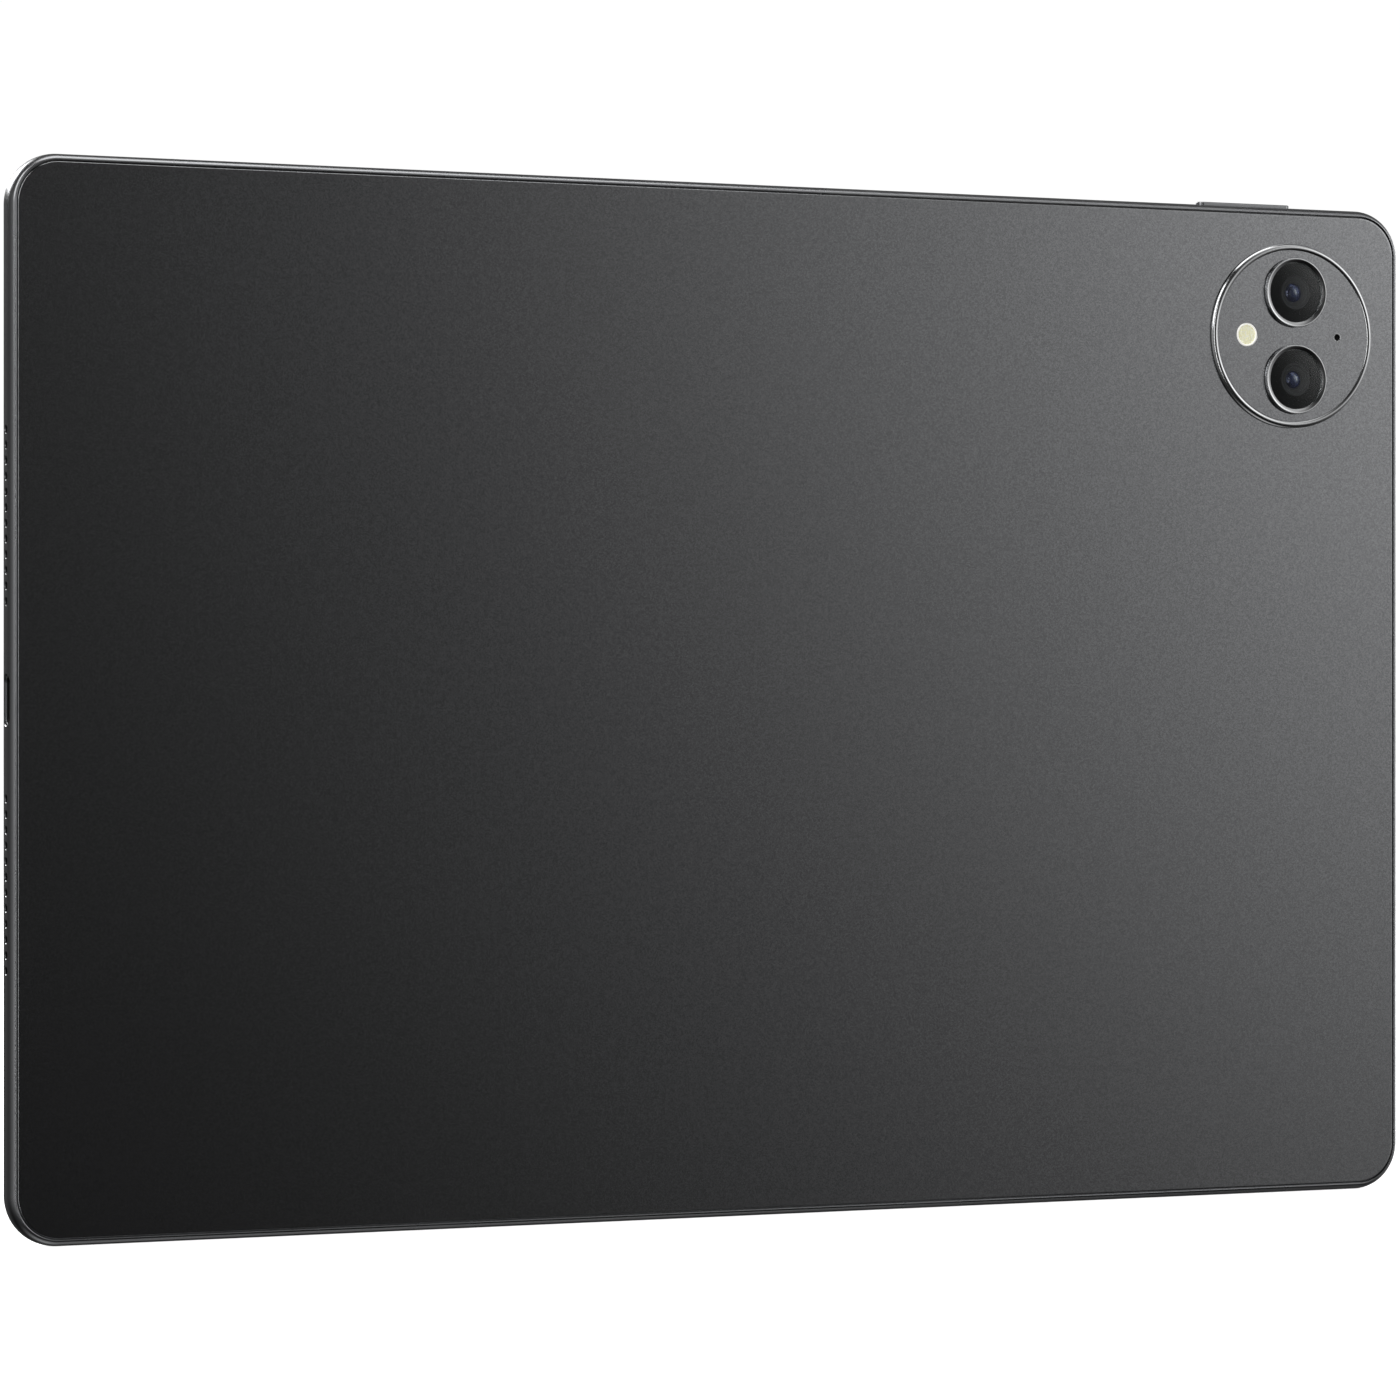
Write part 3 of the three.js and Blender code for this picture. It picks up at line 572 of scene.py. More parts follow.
def finishPiece(piece, material, nodes=(), body="tablet_body", sharpAngle=34):
    mesh = piece.data
    mesh.polygons.foreach_set("use_smooth", [True] * len(mesh.polygons))
    mesh.set_sharp_from_angle(angle=math.radians(sharpAngle))
    weighting = piece.modifiers.new("weighting", "WEIGHTED_NORMAL")
    weighting.keep_sharp = True
    settle(piece)
    piece.data.materials.clear()
    piece.data.materials.append(material)
    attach(piece, body)
    if nodes:
        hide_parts(*nodes)
    return piece


def boxInMillimetres(node):
    low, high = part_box(node)
    return low / mm, high / mm


def middleOf(node):
    low, high = boxInMillimetres(node)
    return (low + high) / 2


bodyLow, bodyHigh = boxInMillimetres("mid_frame")
bodySettings = {
    "width": bodyHigh.x - bodyLow.x,
    "height": bodyHigh.z - bodyLow.z,
    "corner": 9.3,
    "cornerSteps": 24,
    "wall": 3.0,
    "web": (4.0, 4.28),           # rear and front of the plate that carries the display
}
frameSettings = {
    "shoulder": (1.15, 2.4, 18),  # inset, depth and rows of the rear edge's quarter curve
    "frontEdge": (1.0, 3.2, bodyHigh.y, 14),
    "rearLip": (1.28, 0.72),      # inset and depth of the step that holds the rear cover
    "frontLip": (1.1, 4.72, 2.7),
    "lipCrown": (0.35, 24, 0.09), # the lip crown's radius and slope in degrees, and the level it starts from
    "bossRadius": 1.6,
    "bossRear": 3.45,
}


def bodyOutline(inset):
    radius = bodySettings["corner"] - inset
    return roundedOutline(bodySettings["width"] - 2 * inset, bodySettings["height"] - 2 * inset,
                          radius, bodySettings["cornerSteps"])


def frameRows():
    lip, ledge = frameSettings["rearLip"]
    frontLip, frontLedge, seat = frameSettings["frontLip"]
    inset, depth, steps = frameSettings["shoulder"]
    frontInset, start, end, frontSteps = frameSettings["frontEdge"]
    wall, (webRear, webFront) = bodySettings["wall"], bodySettings["web"]
    crown, slope, groove = frameSettings["lipCrown"]
    rows = filleted([(wall, webRear, 0), (wall, ledge, 0.1), (lip, ledge, 0)], 3)
    rows.append((lip, groove))
    for i in range(5, -1, -1):
        angle = math.radians(slope) * i / 5
        rows.append((inset + (lip - inset) * math.sin(angle) / math.sin(math.radians(slope)),
                     crown * (1 - math.cos(angle))))
    for i in range(1, steps + 1):
        angle = i / steps * math.pi / 2
        rows.append((inset * (1 - math.sin(angle)), depth * (1 - math.cos(angle))))
    for i in range(frontSteps + 1):
        angle = i / frontSteps * math.pi / 2
        rows.append((frontInset * (1 - math.cos(angle)), start + (end - start) * math.sin(angle)))
    rows += [(frontLip, end), (frontLip, frontLedge), (seat, frontLedge), (seat, webFront)]
    return rows


def makeFrame(materials):
    shell = loft("frame_shell", frameRows(), bodyOutline, onBody)
    shell = cutAway(shell, *speakerCutters(materials), portCutter(), *keyCutters(), *webCutters())
    finishPiece(shell, materials["frame_metal"], ["mid_frame"])
    screws = [name for name in frame["nodes"] if "screw" in name]
    seats = bpy.data.meshes.new("bossPlaces")
    webRear = bodySettings["web"][0]
    seats.from_pydata([Vector((middleOf(n).x, webRear, middleOf(n).z)) * mm for n in screws], [], [])
    tall = webRear - frameSettings["bossRear"]

    def bosses(tree, entry):
        pillar = addNode(tree, "GeometryNodeMeshCylinder", {
            "Vertices": 28, "Radius": entry["Radius"], "Depth": entry["Height"]})
        lying = addNode(tree, "GeometryNodeTransform", {
            "Geometry": pillar.outputs["Mesh"], "Rotation": (math.pi / 2, 0, 0),
            "Translation": entry["Shift"]})
        return addNode(tree, "GeometryNodeInstanceOnPoints", {
            "Points": entry["Geometry"], "Instance": lying.outputs[0]}).outputs["Instances"]

    pillars = growGeometry("frame_screw_bosses", {
        "Radius": frameSettings["bossRadius"] * mm, "Height": tall * mm, "Shift": (0.0, -tall / 2 * mm, 0.0),
    }, bosses, materials["frame_metal"], seats)
    finishPiece(pillars, materials["frame_metal"])


speakerSettings = {
    "holes": 12,
    "pitch": 2.8,
    "radius": 0.7,
    "flare": 0.1,
    "flareDepth": 0.12,
    "deep": 3.4,
    "wire": 0.045,
    "wireSpacing": 0.19,
}


def speakerCutters(materials):
    # A row of flared bores on each short side, above and below the middle.
    radius, flare = speakerSettings["radius"], speakerSettings["flare"]
    flareDepth, deep = speakerSettings["flareDepth"], speakerSettings["deep"]
    count, pitch = speakerSettings["holes"], speakerSettings["pitch"]
    upper = middleOf("speaker_mesh_key_side_upper")
    first = upper.z - pitch * (count - 1) / 2
    y = upper.y + 0.1
    cutters = []
    for side in (-1, 1):
        face = side * bodySettings["width"] / 2
        profile = [(0, side * 1.0), (radius + flare * 2, side * 1.0), (radius + flare, 0),
                   (radius, -side * flareDepth), (radius, -side * deep), (0, -side * deep)]
        bore = turned("bore", profile, (face, y, 0), 24, alongX=True)

        def rowOfBores(tree, entry):
            lines = [addNode(tree, "GeometryNodeMeshLine", {
                "Count": entry["Holes"], "Start Location": entry[start], "Offset": entry[step]})
                for start, step in (("Upper start", "Upper step"), ("Lower start", "Lower step"))]
            both = addNode(tree, "GeometryNodeJoinGeometry", {"Geometry": [x.outputs["Mesh"] for x in lines]})
            return addNode(tree, "GeometryNodeInstanceOnPoints", {
                "Points": both.outputs[0], "Instance": entry["Geometry"]}).outputs["Instances"]

        cutters.append(growGeometry("speakerBores", {
            "Holes": count, "Upper start": (0.0, 0.0, first * mm), "Upper step": (0.0, 0.0, pitch * mm),
            "Lower start": (0.0, 0.0, -first * mm), "Lower step": (0.0, 0.0, -pitch * mm),
        }, rowOfBores, materials["frame_metal"], bore.data))
        bpy.data.objects.remove(bore)
    return cutters


def stadiumAt(length, width, steps=12):
    # The outline function of a stadium whose length lies along v.
    def outlineAt(inset):
        return roundedOutline(width - 2 * inset, length - 2 * inset, width / 2 - inset - 1e-4, steps)
    return outlineAt


portLow, portHigh = boxInMillimetres("charge_port_shell")
portSettings = {
    "gap": 0.05,
    "flare": 0.16,
    "deep": 3.4,
    "wall": 0.3,
    "contacts": 12,
    "contactPitch": 0.5,
    "contact": (2.9, 0.05, 0.26),
}


def portOutline(grow=0.0):
    return stadiumAt(portHigh.z - portLow.z + 2 * grow, portHigh.y - portLow.y + 2 * grow)


def onPort(u, v, level):
    return Vector((level, (portLow.y + portHigh.y) / 2 + u, v)) * mm


def portCutter():
    face = bodyLow.x
    flare, gap = portSettings["flare"], portSettings["gap"]
    rows = [(-flare * 4, face - flare * 3), (-flare, face), (0, face + flare),
            (0, -bodySettings["width"] / 2 + portSettings["deep"])]
    return loft("portCutter", rows, portOutline(gap), onPort)


keySettings = {
    "gap": 0.15,
    "softEdge": 0.28,
    "slotBreak": 0.06,
    "foot": {"volume_key": 1.65, "power_key": 1.95},   # how far below the body's face the cap's foot ends
}


def keyFrame(node):
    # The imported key's low corner, high corner and middle.
    low, high = boxInMillimetres(node)
    return low, high, (low + high) / 2


def keyCutters():
    gap, broken = keySettings["gap"], keySettings["slotBreak"]
    cutters = []
    for node, axis in (("volume_key", 2), ("power_key", 0)):
        low, high, middle = keyFrame(node)
        face = bodyHigh[axis]
        wide = high.y - low.y + 2 * gap
        length = (high.x - low.x if axis == 2 else high.z - low.z) + 2 * gap

        def placeAt(u, v, level, middle=middle, axis=axis):
            if axis == 2:
                return Vector((middle.x + v, middle.y + u, level)) * mm
            return Vector((level, middle.y + u, middle.z + v)) * mm

        rows = [(-broken * 8, face + broken * 7), (0, face - broken), (0, face - bodySettings["wall"] - 0.4)]
        cutters.append(loft("slotFor_" + node, rows, stadiumAt(length, wide), placeAt))
    return cutters


def webCutters():
    # Openings in the plate behind the display for what passes through it.
    cutters = []
    webRear, webFront = bodySettings["web"]
    for node, room in (("front_camera_module", 0.5), ("display_flex", 0.6), ("charge_port_shell", 0.5)):
        low, high = boxInMillimetres(node)
        inner = bodyLow.x + bodySettings["wall"] + 0.04
        left = max(low.x - room, inner)
        cutters.append(boxPiece("openingFor_" + node,
                                Vector((left, webRear - 0.5, low.z - room)) * mm,
                                Vector((high.x + room, webFront + 0.2, high.z + room)) * mm))
    return cutters


coverLow, coverHigh = boxInMillimetres("rear_cover")
ringMiddle = middleOf("camera_deco_ring")
ringHigh = boxInMillimetres("camera_deco_ring")[1]
islandLow, islandHigh = boxInMillimetres("camera_island_plate")
coverSettings = {
    "inset": coverLow.x - bodyLow.x,
    "edge": 0.18,
    "islandHole": 18.4,
}
islandSettings = {
    "rear": -0.95,
    "bandInner": 17.12,
    "bandOuter": 18.08,
    "crownRadius": 1.05,
    "footRadius": 18.3,        # the wall's lower step
    "footTop": -0.45,
    "seat": (16.6, -0.15),     # inner radius and level of the ledge that carries the plate
    "flange": (19.4, 0.6),     # outer radius and level of the rim under the cover
    "plateRadius": (islandHigh.x - islandLow.x) / 2,
    "plateEdge": 0.05,
    "lensGap": 0.08,
    "flashGap": 0.07,
    "holeBreak": 0.06,
    "microphoneHole": 0.7,
    "microphoneAt": 10.2,
}


def makeCover(materials):
    inset, edge = coverSettings["inset"], coverSettings["edge"]
    rows = filleted([(inset, coverHigh.y, 0), (inset, edge * 1.3, edge * 0.6), (inset + edge, 0, edge * 0.5),
                     (inset + 3 * edge, 0, 0)], 4)
    cover = loft("rear_panel", rows, bodyOutline, onBody)
    wide = coverSettings["islandHole"]
    centre = (ringMiddle.x, 0, ringMiddle.z)
    hole = turned("islandHole", [(0, -3), (wide, -3), (wide, 3), (0, 3)], centre, 160)
    finishPiece(cutAway(cover, hole), materials["rear_coat"], ["rear_cover"])


def makeIslandRing(materials):
    rear, inner, outer = islandSettings["rear"], islandSettings["bandInner"], islandSettings["bandOuter"]
    foot, footTop = islandSettings["footRadius"], islandSettings["footTop"]
    middle, crown = (inner + outer) / 2, islandSettings["crownRadius"]
    (seatRadius, seat), (flangeRadius, flange) = islandSettings["seat"], islandSettings["flange"]
    reach = math.asin((outer - inner) / 2 / crown)
    # one polished crown between the plate and the outer wall, and a step at the wall's foot
    band = [(middle + crown * math.sin(k / 12 * reach), rear + crown * (1 - math.cos(k / 12 * reach)))
            for k in range(-12, 13)]
    profile = [(seatRadius, ringHigh.y), (seatRadius, seat), (inner, seat)] + band
    profile += filleted([(outer, rear + 0.3, 0), (outer, footTop - 0.1, 0), (foot, footTop + 0.12, 0.1),
                         (foot, flange, 0), (flangeRadius, flange, 0)], 3)
    profile += [(flangeRadius, ringHigh.y)]
    ring = turned("island_ring", profile, (ringMiddle.x, 0, ringMiddle.z), 192)
    finishPiece(ring, materials["polished_metal"], ["camera_deco_ring"], sharpAngle=30)


def makeIslandPlate(materials):
    radius, edge = islandSettings["plateRadius"], islandSettings["plateEdge"]
    centre = (ringMiddle.x, 0, ringMiddle.z)
    profile = filleted([(0, islandLow.y, 0), (radius, islandLow.y, edge), (radius, islandHigh.y, 0),
                        (0, islandHigh.y, 0)], 3)
    plate = turned("island_plate", profile, centre, 160)
    holes = []
    flashLow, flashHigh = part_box("flash_window")
    lensHole = lensSettings["base"] + islandSettings["lensGap"]
    flashHole = (flashHigh.x - flashLow.x) / 2 / mm + islandSettings["flashGap"]
    broken = islandSettings["holeBreak"]
    for node, wide in (("main_lens_window", lensHole), ("wide_lens_window", lensHole),
                       ("flash_window", flashHole)):
        middle = middleOf(node)
        cutter = [(0, -4), (wide + broken, -4), (wide + broken, islandLow.y), (wide, islandLow.y + broken),
                  (wide, 1), (0, 1)]
        holes.append(turned("holeFor_" + node, cutter, (middle.x, 0, middle.z), 96))
    small = islandSettings["microphoneHole"]
    microphone = (centre[0] + islandSettings["microphoneAt"], 0, centre[2])
    holes.append(turned("microphoneBore", [(0, -4), (small, -4), (small, 1), (0, 1)], microphone, 32))
    finishPiece(cutAway(plate, *holes), materials["rear_coat"], ["camera_island_plate"])
    rim = turned("microphone_rim", filleted([
        (small - 0.02, islandLow.y + 0.3, 0), (small - 0.02, islandLow.y - 0.01, 0.04),
        (small + 0.11, islandLow.y - 0.01, 0.05), (small + 0.13, islandLow.y + 0.02, 0),
        (small + 0.02, islandLow.y + 0.02, 0), (small + 0.02, islandLow.y + 0.3, 0)], 4), microphone, 40)
    finishPiece(rim, materials["polished_metal"])
    gauze = turned("microphone_gauze", [(0, islandHigh.y - 0.12), (small - 0.03, islandHigh.y - 0.12),
                                        (small - 0.03, islandHigh.y), (0, islandHigh.y)], microphone, 32)
    finishPiece(gauze, materials["gasket"])


windowLow = boxInMillimetres("main_lens_window")[0]
lensRingLow = boxInMillimetres("main_lens_ring")[0]
lensSettings = {
    "base": 6.875,
    "windowRadius": 5.93,
    "windowThick": 0.32,
    "dome": 0.2,            # how far the window's middle stands proud of its edge
    "bevel": (0.66, 0.2),   # width and depth of the ring's polished bevel, which faces the window
    "bevelInner": 5.97,
    "seat": (5.4, -0.96),   # inner radius and level of the ledge that carries the window
    "flange": (7.6, -0.15),
    "mask": {"outer": 5.85, "inner": 3.3, "gap": 0.045, "thick": 0.02},
    "barrelFloor": (0.05, 0.23),
    # radius, level and edge break of the light-trap steps, from the mouth down
    "barrelSteps": [(3.2, -0.67, 0.03), (2.9, -0.67, 0.03), (2.65, -0.47, 0.03), (2.35, -0.47, 0.03)],
    "element": {"arc": 1.1, "rear": -0.47, "rise": 0.5, "front": 0.07},
    "bead": {"arc": 1.3, "rear": -0.55, "rise": 0.2, "front": -0.25},
    "main": {"pupil": 1.0, "iris": 1.85},
    "wide": {"pupil": 1.15, "iris": 1.7},
}


def lensWindow(name, centre, materials):
    # The window is a thin even shell, so both of its faces mirror the studio alike.
    radius, thick, dome = lensSettings["windowRadius"], lensSettings["windowThick"], lensSettings["dome"]
    rear = windowLow.y - 0.08
    outside = [(radius * k / 12, rear + dome * (k / 12) ** 2) for k in range(13)]
    inside = [(r, level + thick) for r, level in reversed(outside)]
    outside[-1] = (radius - 0.05, outside[-1][1] - 0.01)
    outside.append((radius, rear + dome + 0.05))
    window = turned(name + "_lens_cover", outside + inside, centre, 128)
    finishPiece(window, materials["lens_glass"], [name + "_lens_window"])
    window.visible_shadow = False


def lensRing(name, centre, materials):
    top, base = lensRingLow.y, lensSettings["base"]
    (seatRadius, seat), (flangeRadius, flange) = lensSettings["seat"], lensSettings["flange"]
    high = boxInMillimetres(name + "_lens_ring")[1]
    wide, deep = lensSettings["bevel"]
    inner, steps = lensSettings["bevelInner"], 12
    # the bevel is slightly convex: shallow at the crest, steeper towards the window
    band = [(inner + wide * k / steps, top + deep * (1 - k / steps) ** 1.25) for k in range(steps + 1)]
    profile = [(seatRadius, high.y), (seatRadius, seat), (inner, seat)] + band
    crest = [(inner + wide, top, 0), (base - 0.03, top, 0.07), (base - 0.03, top + 0.34, 0)]
    profile += filleted(crest, 4)[1:]
    profile += [(base - 0.12, top + 0.36), (base - 0.12, top + 0.42), (base, top + 0.45)]
    profile += [(base, flange), (flangeRadius, flange), (flangeRadius, high.y)]
    ring = turned(name + "_lens_bezel", profile, centre, 160)
    finishPiece(ring, materials["polished_metal"], [name + "_lens_ring"], sharpAngle=28)


def lensInterior(name, centre, materials):
    low, high = boxInMillimetres(name + "_camera_module")
    iris, pupil = lensSettings[name]["iris"], lensSettings[name]["pupil"]
    ink = lensSettings["mask"]
    near = lensSettings["seat"][1] - ink["gap"]
    far = near + ink["thick"]
    mask = turned(name + "_lens_mask", [
        (ink["outer"], near), (ink["inner"], near), (ink["inner"], far), (ink["outer"], far)], centre, 96)
    finishPiece(mask, materials["printed"])
    housing = loft(name + "_camera_housing", [(0.25, 0.25), (0, 0.5), (0, high.y - 0.2), (0.2, high.y)],
                   lambda inset: roundedOutline(high.x - low.x - 2 * inset, high.z - low.z - 2 * inset,
                                                1.2, 6),
                   lambda u, v, level: (Vector((centre[0] + u, level, centre[2] + v))) * mm)
    finishPiece(housing, materials["module_plastic"], [name + "_camera_module"])
    # The barrel steps down towards the stop in light-trap rings.
    floor, under = lensSettings["barrelFloor"]
    corners = [(4.4, under, 0), (4.4, low.y, 0.08), (3.5, low.y, 0.06)] + lensSettings["barrelSteps"]
    corners += [(iris + 0.1, -0.3, 0.03), (iris, floor, 0), (0.3, floor, 0), (0.3, under, 0)]
    barrel = turned(name + "_lens_barrel", filleted(corners, 3), centre, 96)
    finishPiece(barrel, materials["module_plastic"])
    for part, finish, radius, settings, segments in (
            ("_front_element", "element", iris, lensSettings["element"], 72),
            ("_pupil", "pupil", pupil, lensSettings["bead"], 48)):
        edge = radius if finish == "element" else radius * 0.9
        steps = 10 if finish == "element" else 8
        profile = domed(radius, settings["arc"], settings["rear"], settings["rise"], steps)
        profile += [(edge, settings["front"]), (0, settings["front"])]
        glass = turned(name + part, profile, centre, segments)
        finishPiece(glass, materials[finish])


def makeLenses(materials):
    for name in ("main", "wide"):
        middle = middleOf(name + "_lens_window")
        centre = (middle.x, 0, middle.z)
        lensRing(name, centre, materials)
        lensWindow(name, centre, materials)
        lensInterior(name, centre, materials)


flashSettings = {
    "rim": 0.24,
    "diode": 1.224,
    "diodeGap": 0.1,
    "dome": 0.05,
}


def makeFlash(materials):
    low, high = boxInMillimetres("flash_window")
    radius, centre = (high.x - low.x) / 2, ((low.x + high.x) / 2, 0, (low.z + high.z) / 2)
    inner = radius - flashSettings["rim"]
    rim = turned("flash_rim", filleted([
        (radius, high.y, 0), (radius, low.y, 0.12), (inner, low.y, 0.06), (inner - 0.05, low.y + 0.12, 0),
        (inner - 0.05, high.y, 0)], 5), centre, 96)
    finishPiece(rim, materials["flash_lens"], ["flash_window"])
    face = low.y + 0.2
    plate = turned("flash_phosphor", [(0, face), (inner, face), (inner, high.y), (0, high.y)], centre, 72)
    finishPiece(plate, materials["phosphor"])

    def diodes(tree, entry):
        spots = addNode(tree, "GeometryNodeMeshGrid", {
            "Size X": entry["Step"], "Size Y": entry["Step"], "Vertices X": 2, "Vertices Y": 2})
        upright = addNode(tree, "GeometryNodeTransform", {
            "Geometry": spots.outputs["Mesh"], "Rotation": (math.pi / 2, 0, 0),
            "Translation": entry["Place"]})
        chip = addNode(tree, "GeometryNodeMeshCube", {"Size": entry["Chip"]})
        return addNode(tree, "GeometryNodeInstanceOnPoints", {
            "Points": upright.outputs[0], "Instance": chip.outputs["Mesh"]}).outputs["Instances"]

    side = flashSettings["diode"]
    chips = growGeometry("flash_diodes", {
        "Step": (side + flashSettings["diodeGap"]) * mm, "Chip": (side * mm, 0.06 * mm, side * mm),
        "Place": (centre[0] * mm, (low.y + 0.19) * mm, centre[2] * mm),
    }, diodes, materials["phosphor"])
    finishPiece(chips, materials["phosphor"])
    profile = [(0, low.y + 0.01)] + [
        (inner * k / 6, low.y + 0.01 + flashSettings["dome"] * (k / 6) ** 2) for k in range(1, 7)]
    cap = turned("flash_lens", profile + [(inner, low.y + 0.14), (0, low.y + 0.14)], centre, 72)
    finishPiece(cap, materials["lens_glass"])
    cap.visible_shadow = False


def makeKey(node, name, axis, plungers, body, materials):
    low, high, middle = keyFrame(node)
    soft = keySettings["softEdge"]
    wide = high.y - low.y
    length = high.x - low.x if axis == 2 else high.z - low.z
    top = high[axis]
    foot = bodyHigh[axis] - keySettings["foot"][node]

    def placeAt(u, v, level):
        if axis == 2:
            return Vector((middle.x + v, middle.y + u, level)) * mm
        return Vector((level, middle.y + u, middle.z + v)) * mm

    rows = filleted([(0.06, foot, 0), (0, foot + 0.06, 0), (0, top - 0.02, soft), (0.5, top, 0)], 6)
    cap = loft(name, rows, stadiumAt(length, wide, 16), placeAt)
    finishPiece(cap, materials["frame_metal"], [node], body)
    for i, (along, radius) in enumerate(plungers):
        start = low[axis]
        pin = loft(f"{name}_plunger_{i + 1}", [(0.12, start), (0, start + 0.12), (0, foot + 0.03)],
                   lambda inset, radius=radius: roundedOutline(2 * (radius - inset), 2 * (radius - inset),
                                                               radius - inset - 1e-4, 8),
                   lambda u, v, level, along=along: placeAt(u - 0.1, v + along, level))
        finishPiece(pin, materials["frame_metal"], (), body)


def makeKeys(materials):
    makeKey("volume_key", "volume_key_cap", 2, [(-7, 0.55), (7, 0.55)], "volume_rocker", materials)
    makeKey("power_key", "power_key_cap", 0, [(0, 0.6)], "power_button", materials)


def makePort(materials):
    wall = portSettings["wall"]
    mouth, rear = portLow.x, portHigh.x
    # a closed loop of rows: up the outside, over the rounded mouth and back down the inside
    rows = filleted([(wall, rear, 0), (wall, mouth + 0.02, 0.12), (0, mouth, 0.12), (0, rear, 0)], 4)
    liner = loft("port_liner", rows, portOutline(), onPort, capped=False)
    finishPiece(liner, materials["steel"], ["charge_port_shell"])
    low, high = boxInMillimetres("charge_port_tongue")
    y = (portLow.y + portHigh.y) / 2
    blade = loft("port_tongue", [(0.14, low.x), (0, low.x + 0.14), (0, high.x - 1.0)],
                 lambda inset: roundedOutline(0.7 - 2 * inset, 6.7 - 2 * inset, 0.34 - inset, 6),
                 lambda u, v, level: Vector((level, y + u, v)) * mm)
    finishPiece(blade, materials["module_plastic"], ["charge_port_tongue"])
    plug = loft("port_backplate", [(0.05, high.x - 1.0), (0, high.x - 0.95), (0, high.x)],
                stadiumAt(high.z - low.z, high.y - low.y), onPort)
    finishPiece(plug, materials["module_plastic"])

    def contacts(tree, entry):
        line = addNode(tree, "GeometryNodeMeshLine", {
            "Count": entry["Contacts"], "Start Location": entry["Start"], "Offset": entry["Step"]})
        bar = addNode(tree, "GeometryNodeMeshCube", {"Size": entry["Contact"]})
        row = addNode(tree, "GeometryNodeInstanceOnPoints", {
            "Points": line.outputs["Mesh"], "Instance": bar.outputs["Mesh"]})
        under = addNode(tree, "GeometryNodeTransform", {
            "Geometry": row.outputs["Instances"], "Translation": entry["Other face"]})
        return addNode(tree, "GeometryNodeJoinGeometry", {
            "Geometry": [row.outputs["Instances"], under.outputs[0]]}).outputs[0]

    pitch, count, size = portSettings["contactPitch"], portSettings["contacts"], portSettings["contact"]
    strips = growGeometry("port_contacts", {
        "Contacts": count,
        "Start": ((low.x + 0.35 + size[0] / 2) * mm, (y - 0.35) * mm, -pitch * (count - 1) / 2 * mm),
        "Step": (0.0, 0.0, pitch * mm), "Contact": tuple(s * mm for s in size),
        "Other face": (0.0, 0.7 * mm, 0.0),
    }, contacts, materials["gold"])
    finishPiece(strips, materials["gold"])


def wireCloth(tree, entry):
    # Two layers of wires that swap sides at each crossing.
    place = addNode(tree, "GeometryNodeInputPosition").outputs[0]
    parts = addNode(tree, "ShaderNodeSeparateXYZ", {"Vector": place})
    turn = addNode(tree, "ShaderNodeMath", {0: math.pi, 1: entry["Spacing"]}, operation="DIVIDE")
    waves = []
    for axis in ("Y", "Z"):
        phase = addNode(tree, "ShaderNodeMath", {0: parts.outputs[axis], 1: turn.outputs[0]},
                        operation="MULTIPLY")
        waves.append(addNode(tree, "ShaderNodeMath", {0: phase.outputs[0]}, operation="COSINE").outputs[0])
    weave = addNode(tree, "ShaderNodeMath", {0: waves[0], 1: waves[1]}, operation="MULTIPLY")
    section = addNode(tree, "GeometryNodeCurvePrimitiveCircle", {"Resolution": 5, "Radius": entry["Wire"]})
    layers = []
    for start, step, count, end, points, sign in (
            ("Long start", "Long step", "Long wires", "Long wire", "Long points", 1.0),
            ("Short start", "Short step", "Short wires", "Short wire", "Short points", -1.0)):
        line = addNode(tree, "GeometryNodeMeshLine", {
            "Count": entry[count], "Start Location": entry[start], "Offset": entry[step]})
        strand = addNode(tree, "GeometryNodeCurvePrimitiveLine", {"End": entry[end]})
        fine = addNode(tree, "GeometryNodeResampleCurve", {
            "Curve": strand.outputs[0], "Count": entry[points]})
        spread = addNode(tree, "GeometryNodeInstanceOnPoints", {
            "Points": line.outputs["Mesh"], "Instance": fine.outputs[0]})
        loose = addNode(tree, "GeometryNodeRealizeInstances", {"Geometry": spread.outputs[0]})
        reach = addNode(tree, "ShaderNodeMath", {0: weave.outputs[0], 1: entry["Wire"]}, operation="MULTIPLY")
        signed = addNode(tree, "ShaderNodeMath", {0: reach.outputs[0], 1: sign}, operation="MULTIPLY")
        offset = addNode(tree, "ShaderNodeCombineXYZ", {"X": signed.outputs[0]})
        woven = addNode(tree, "GeometryNodeSetPosition", {
            "Geometry": loose.outputs[0], "Offset": offset.outputs[0]})
        layers.append(addNode(tree, "GeometryNodeCurveToMesh", {
            "Curve": woven.outputs[0], "Profile Curve": section.outputs[0]}).outputs[0])
    return addNode(tree, "GeometryNodeJoinGeometry", {"Geometry": layers}).outputs[0]


def makeSpeakerCloth(materials):
    spacing, wire = speakerSettings["wireSpacing"], speakerSettings["wire"]
    for side in ("port_side", "key_side"):
        for half in ("lower", "upper"):
            node = f"speaker_mesh_{side}_{half}"
            low, high = boxInMillimetres(node)
            x = (low.x + high.x) / 2
            longWires, shortWires = int((high.y - low.y) / spacing), int((high.z - low.z) / spacing)
            cloth = growGeometry(f"speaker_cloth_{side}_{half}", {
                "Spacing": spacing * mm, "Wire": wire * mm,
                "Long wires": longWires, "Long points": shortWires * 4,
                "Long start": (x * mm, (low.y + spacing / 2) * mm, low.z * mm),
                "Long step": (0.0, spacing * mm, 0.0),
                "Long wire": (0.0, 0.0, (high.z - low.z) * mm),
                "Short wires": shortWires, "Short points": longWires * 4,
                "Short start": (x * mm, low.y * mm, (low.z + spacing / 2) * mm),
                "Short step": (0.0, 0.0, spacing * mm),
                "Short wire": (0.0, (high.y - low.y) * mm, 0.0),
            }, wireCloth, materials["mesh_metal"])
            finishPiece(cloth, materials["mesh_metal"], [node], sharpAngle=80)


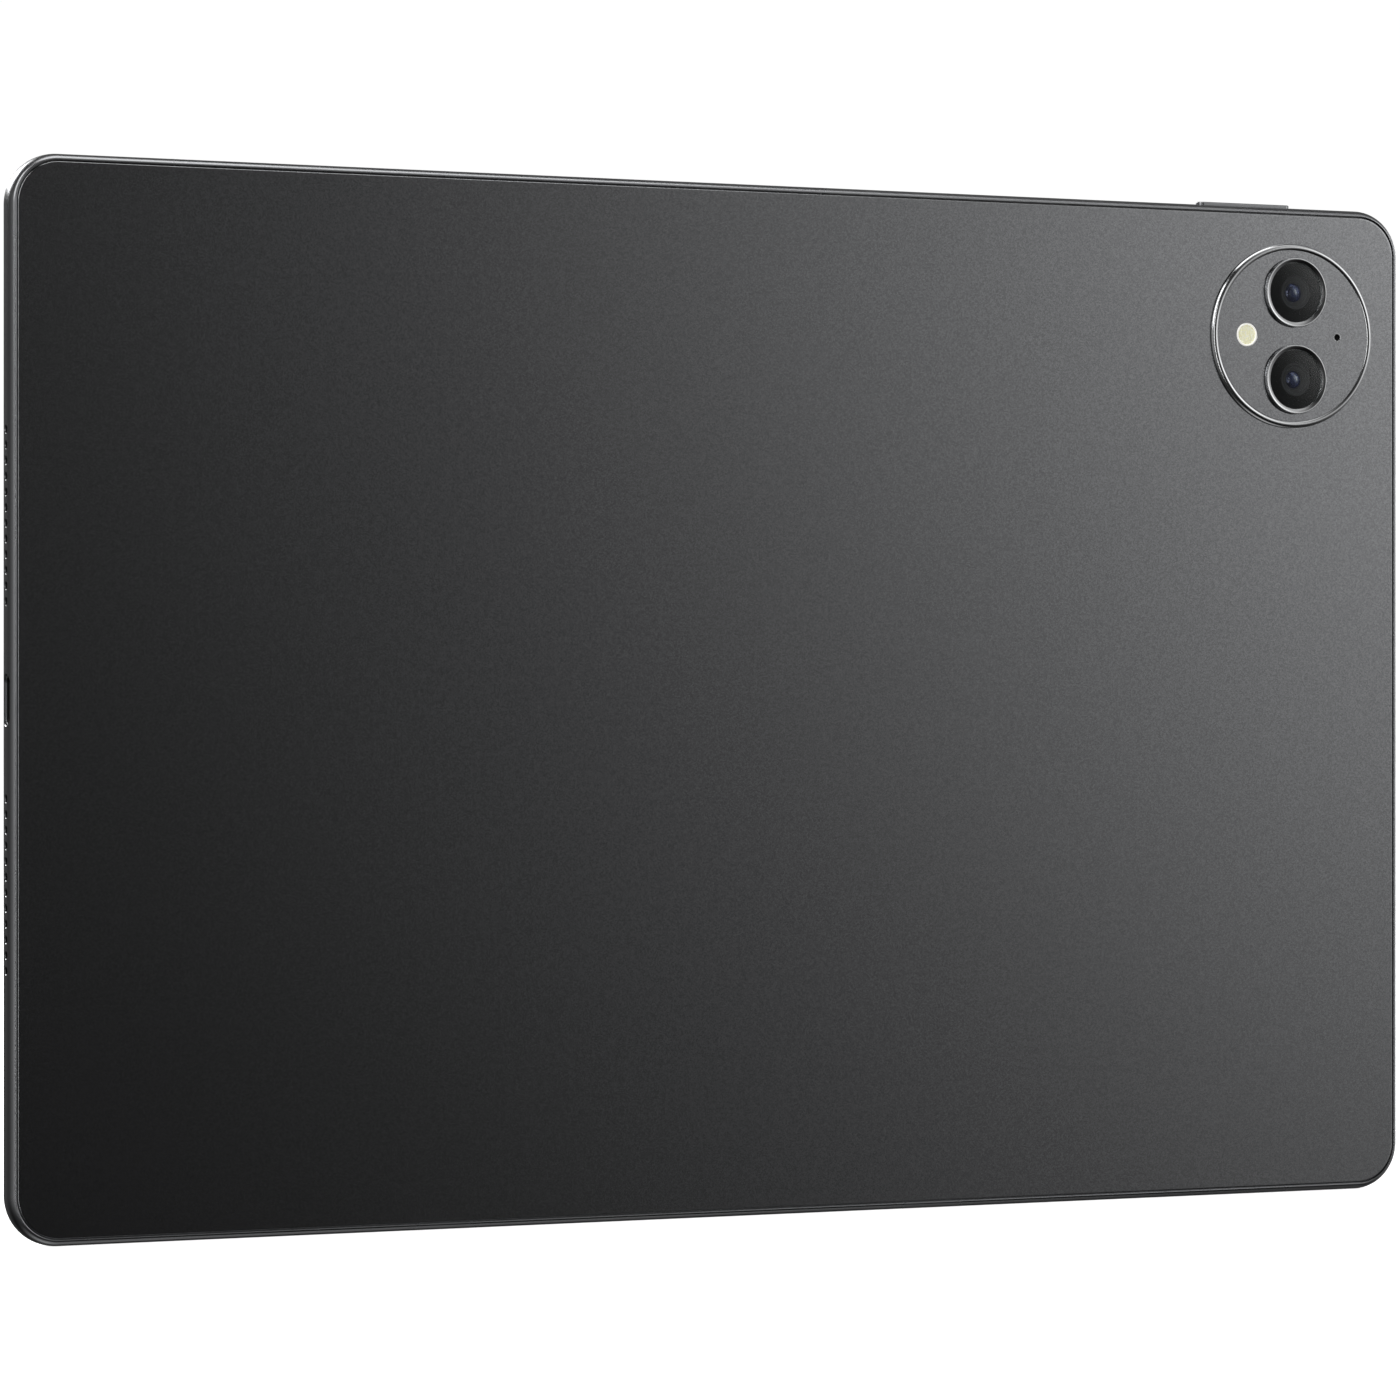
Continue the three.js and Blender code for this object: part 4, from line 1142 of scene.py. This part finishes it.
glassLow, glassHigh = boxInMillimetres("cover_glass")
screenSettings = {
    "glassEdge": 0.3,
    "borderWidth": 5.2,        # from the glass edge to the picture
    "cameraWindow": 1.7,
    "lensArc": 1.2,            # radians of the front camera's lens that show
}


def makeScreen(materials):
    inset, edge = glassLow.x - bodyLow.x, screenSettings["glassEdge"]
    rows = [(inset, glassLow.y)]
    for k in range(9):
        angle = k / 8 * math.pi / 2
        rows.append((inset + edge * (1 - math.cos(angle)), glassHigh.y - edge * (1 - math.sin(angle))))
    pane = loft("front_glass_pane", rows, bodyOutline, onBody)
    finishPiece(pane, materials["front_glass"], ["cover_glass"])
    pane.visible_shadow = False
    # The ink border is printed on the back of the glass, with a clear spot for the front camera.
    rear, front = glassLow.y - 0.018, glassLow.y - 0.004
    outer, inner = inset + 0.12, inset + screenSettings["borderWidth"]
    border = loft("screen_border", [(outer, rear), (outer, front), (inner, front), (inner, rear)],
                  bodyOutline, onBody, capped=False)
    camera = middleOf("front_camera_module")
    clear = screenSettings["cameraWindow"]
    spot = turned("cameraSpot", [(0, 4), (clear, 4), (clear, 6), (0, 6)], (camera.x, 0, camera.z), 48)
    finishPiece(cutAway(border, spot), materials["printed"])
    top = boxInMillimetres("front_camera_module")[1].y
    arc = screenSettings["lensArc"]
    profile = domed(1.1 * math.sin(arc), arc, top + 0.03, -0.1 * (1 - math.cos(arc)), 8)
    profile += [(1.02, top - 0.08), (0, top - 0.08)]
    bead = turned("front_camera_lens", profile, (camera.x, 0, camera.z), 48)
    finishPiece(bead, materials["element"])


def dressPackedNodes(materials):
    slots = {row["node"]: row["material_slot"] for row in frame["record"]["subparts"]}
    for name, node in frame["nodes"].items():
        if node.hide_render:
            continue
        material = materials[slots[name]]
        if node.material_slots:
            node.material_slots[0].material = material
        else:
            node.data.materials.append(material)


bpy.context.scene.view_settings.view_transform = "Standard"
makeCamera()
print("camera in place")
makeWorld()
makeLights()
makeFloor()
print("studio lit")
finishes = makeMaterials()
print(len(finishes), "materials mixed")
makeFrame(finishes)
print("frame milled")
makeCover(finishes)
makeIslandRing(finishes)
makeIslandPlate(finishes)
print("rear cover and island fitted")
makeLenses(finishes)
makeFlash(finishes)
print("lenses and flash seated")
makeKeys(finishes)
makePort(finishes)
makeSpeakerCloth(finishes)
print("keys, port and speaker cloth fitted")
makeScreen(finishes)
print("screen closed")
dressPackedNodes(finishes)
print("packed nodes dressed")
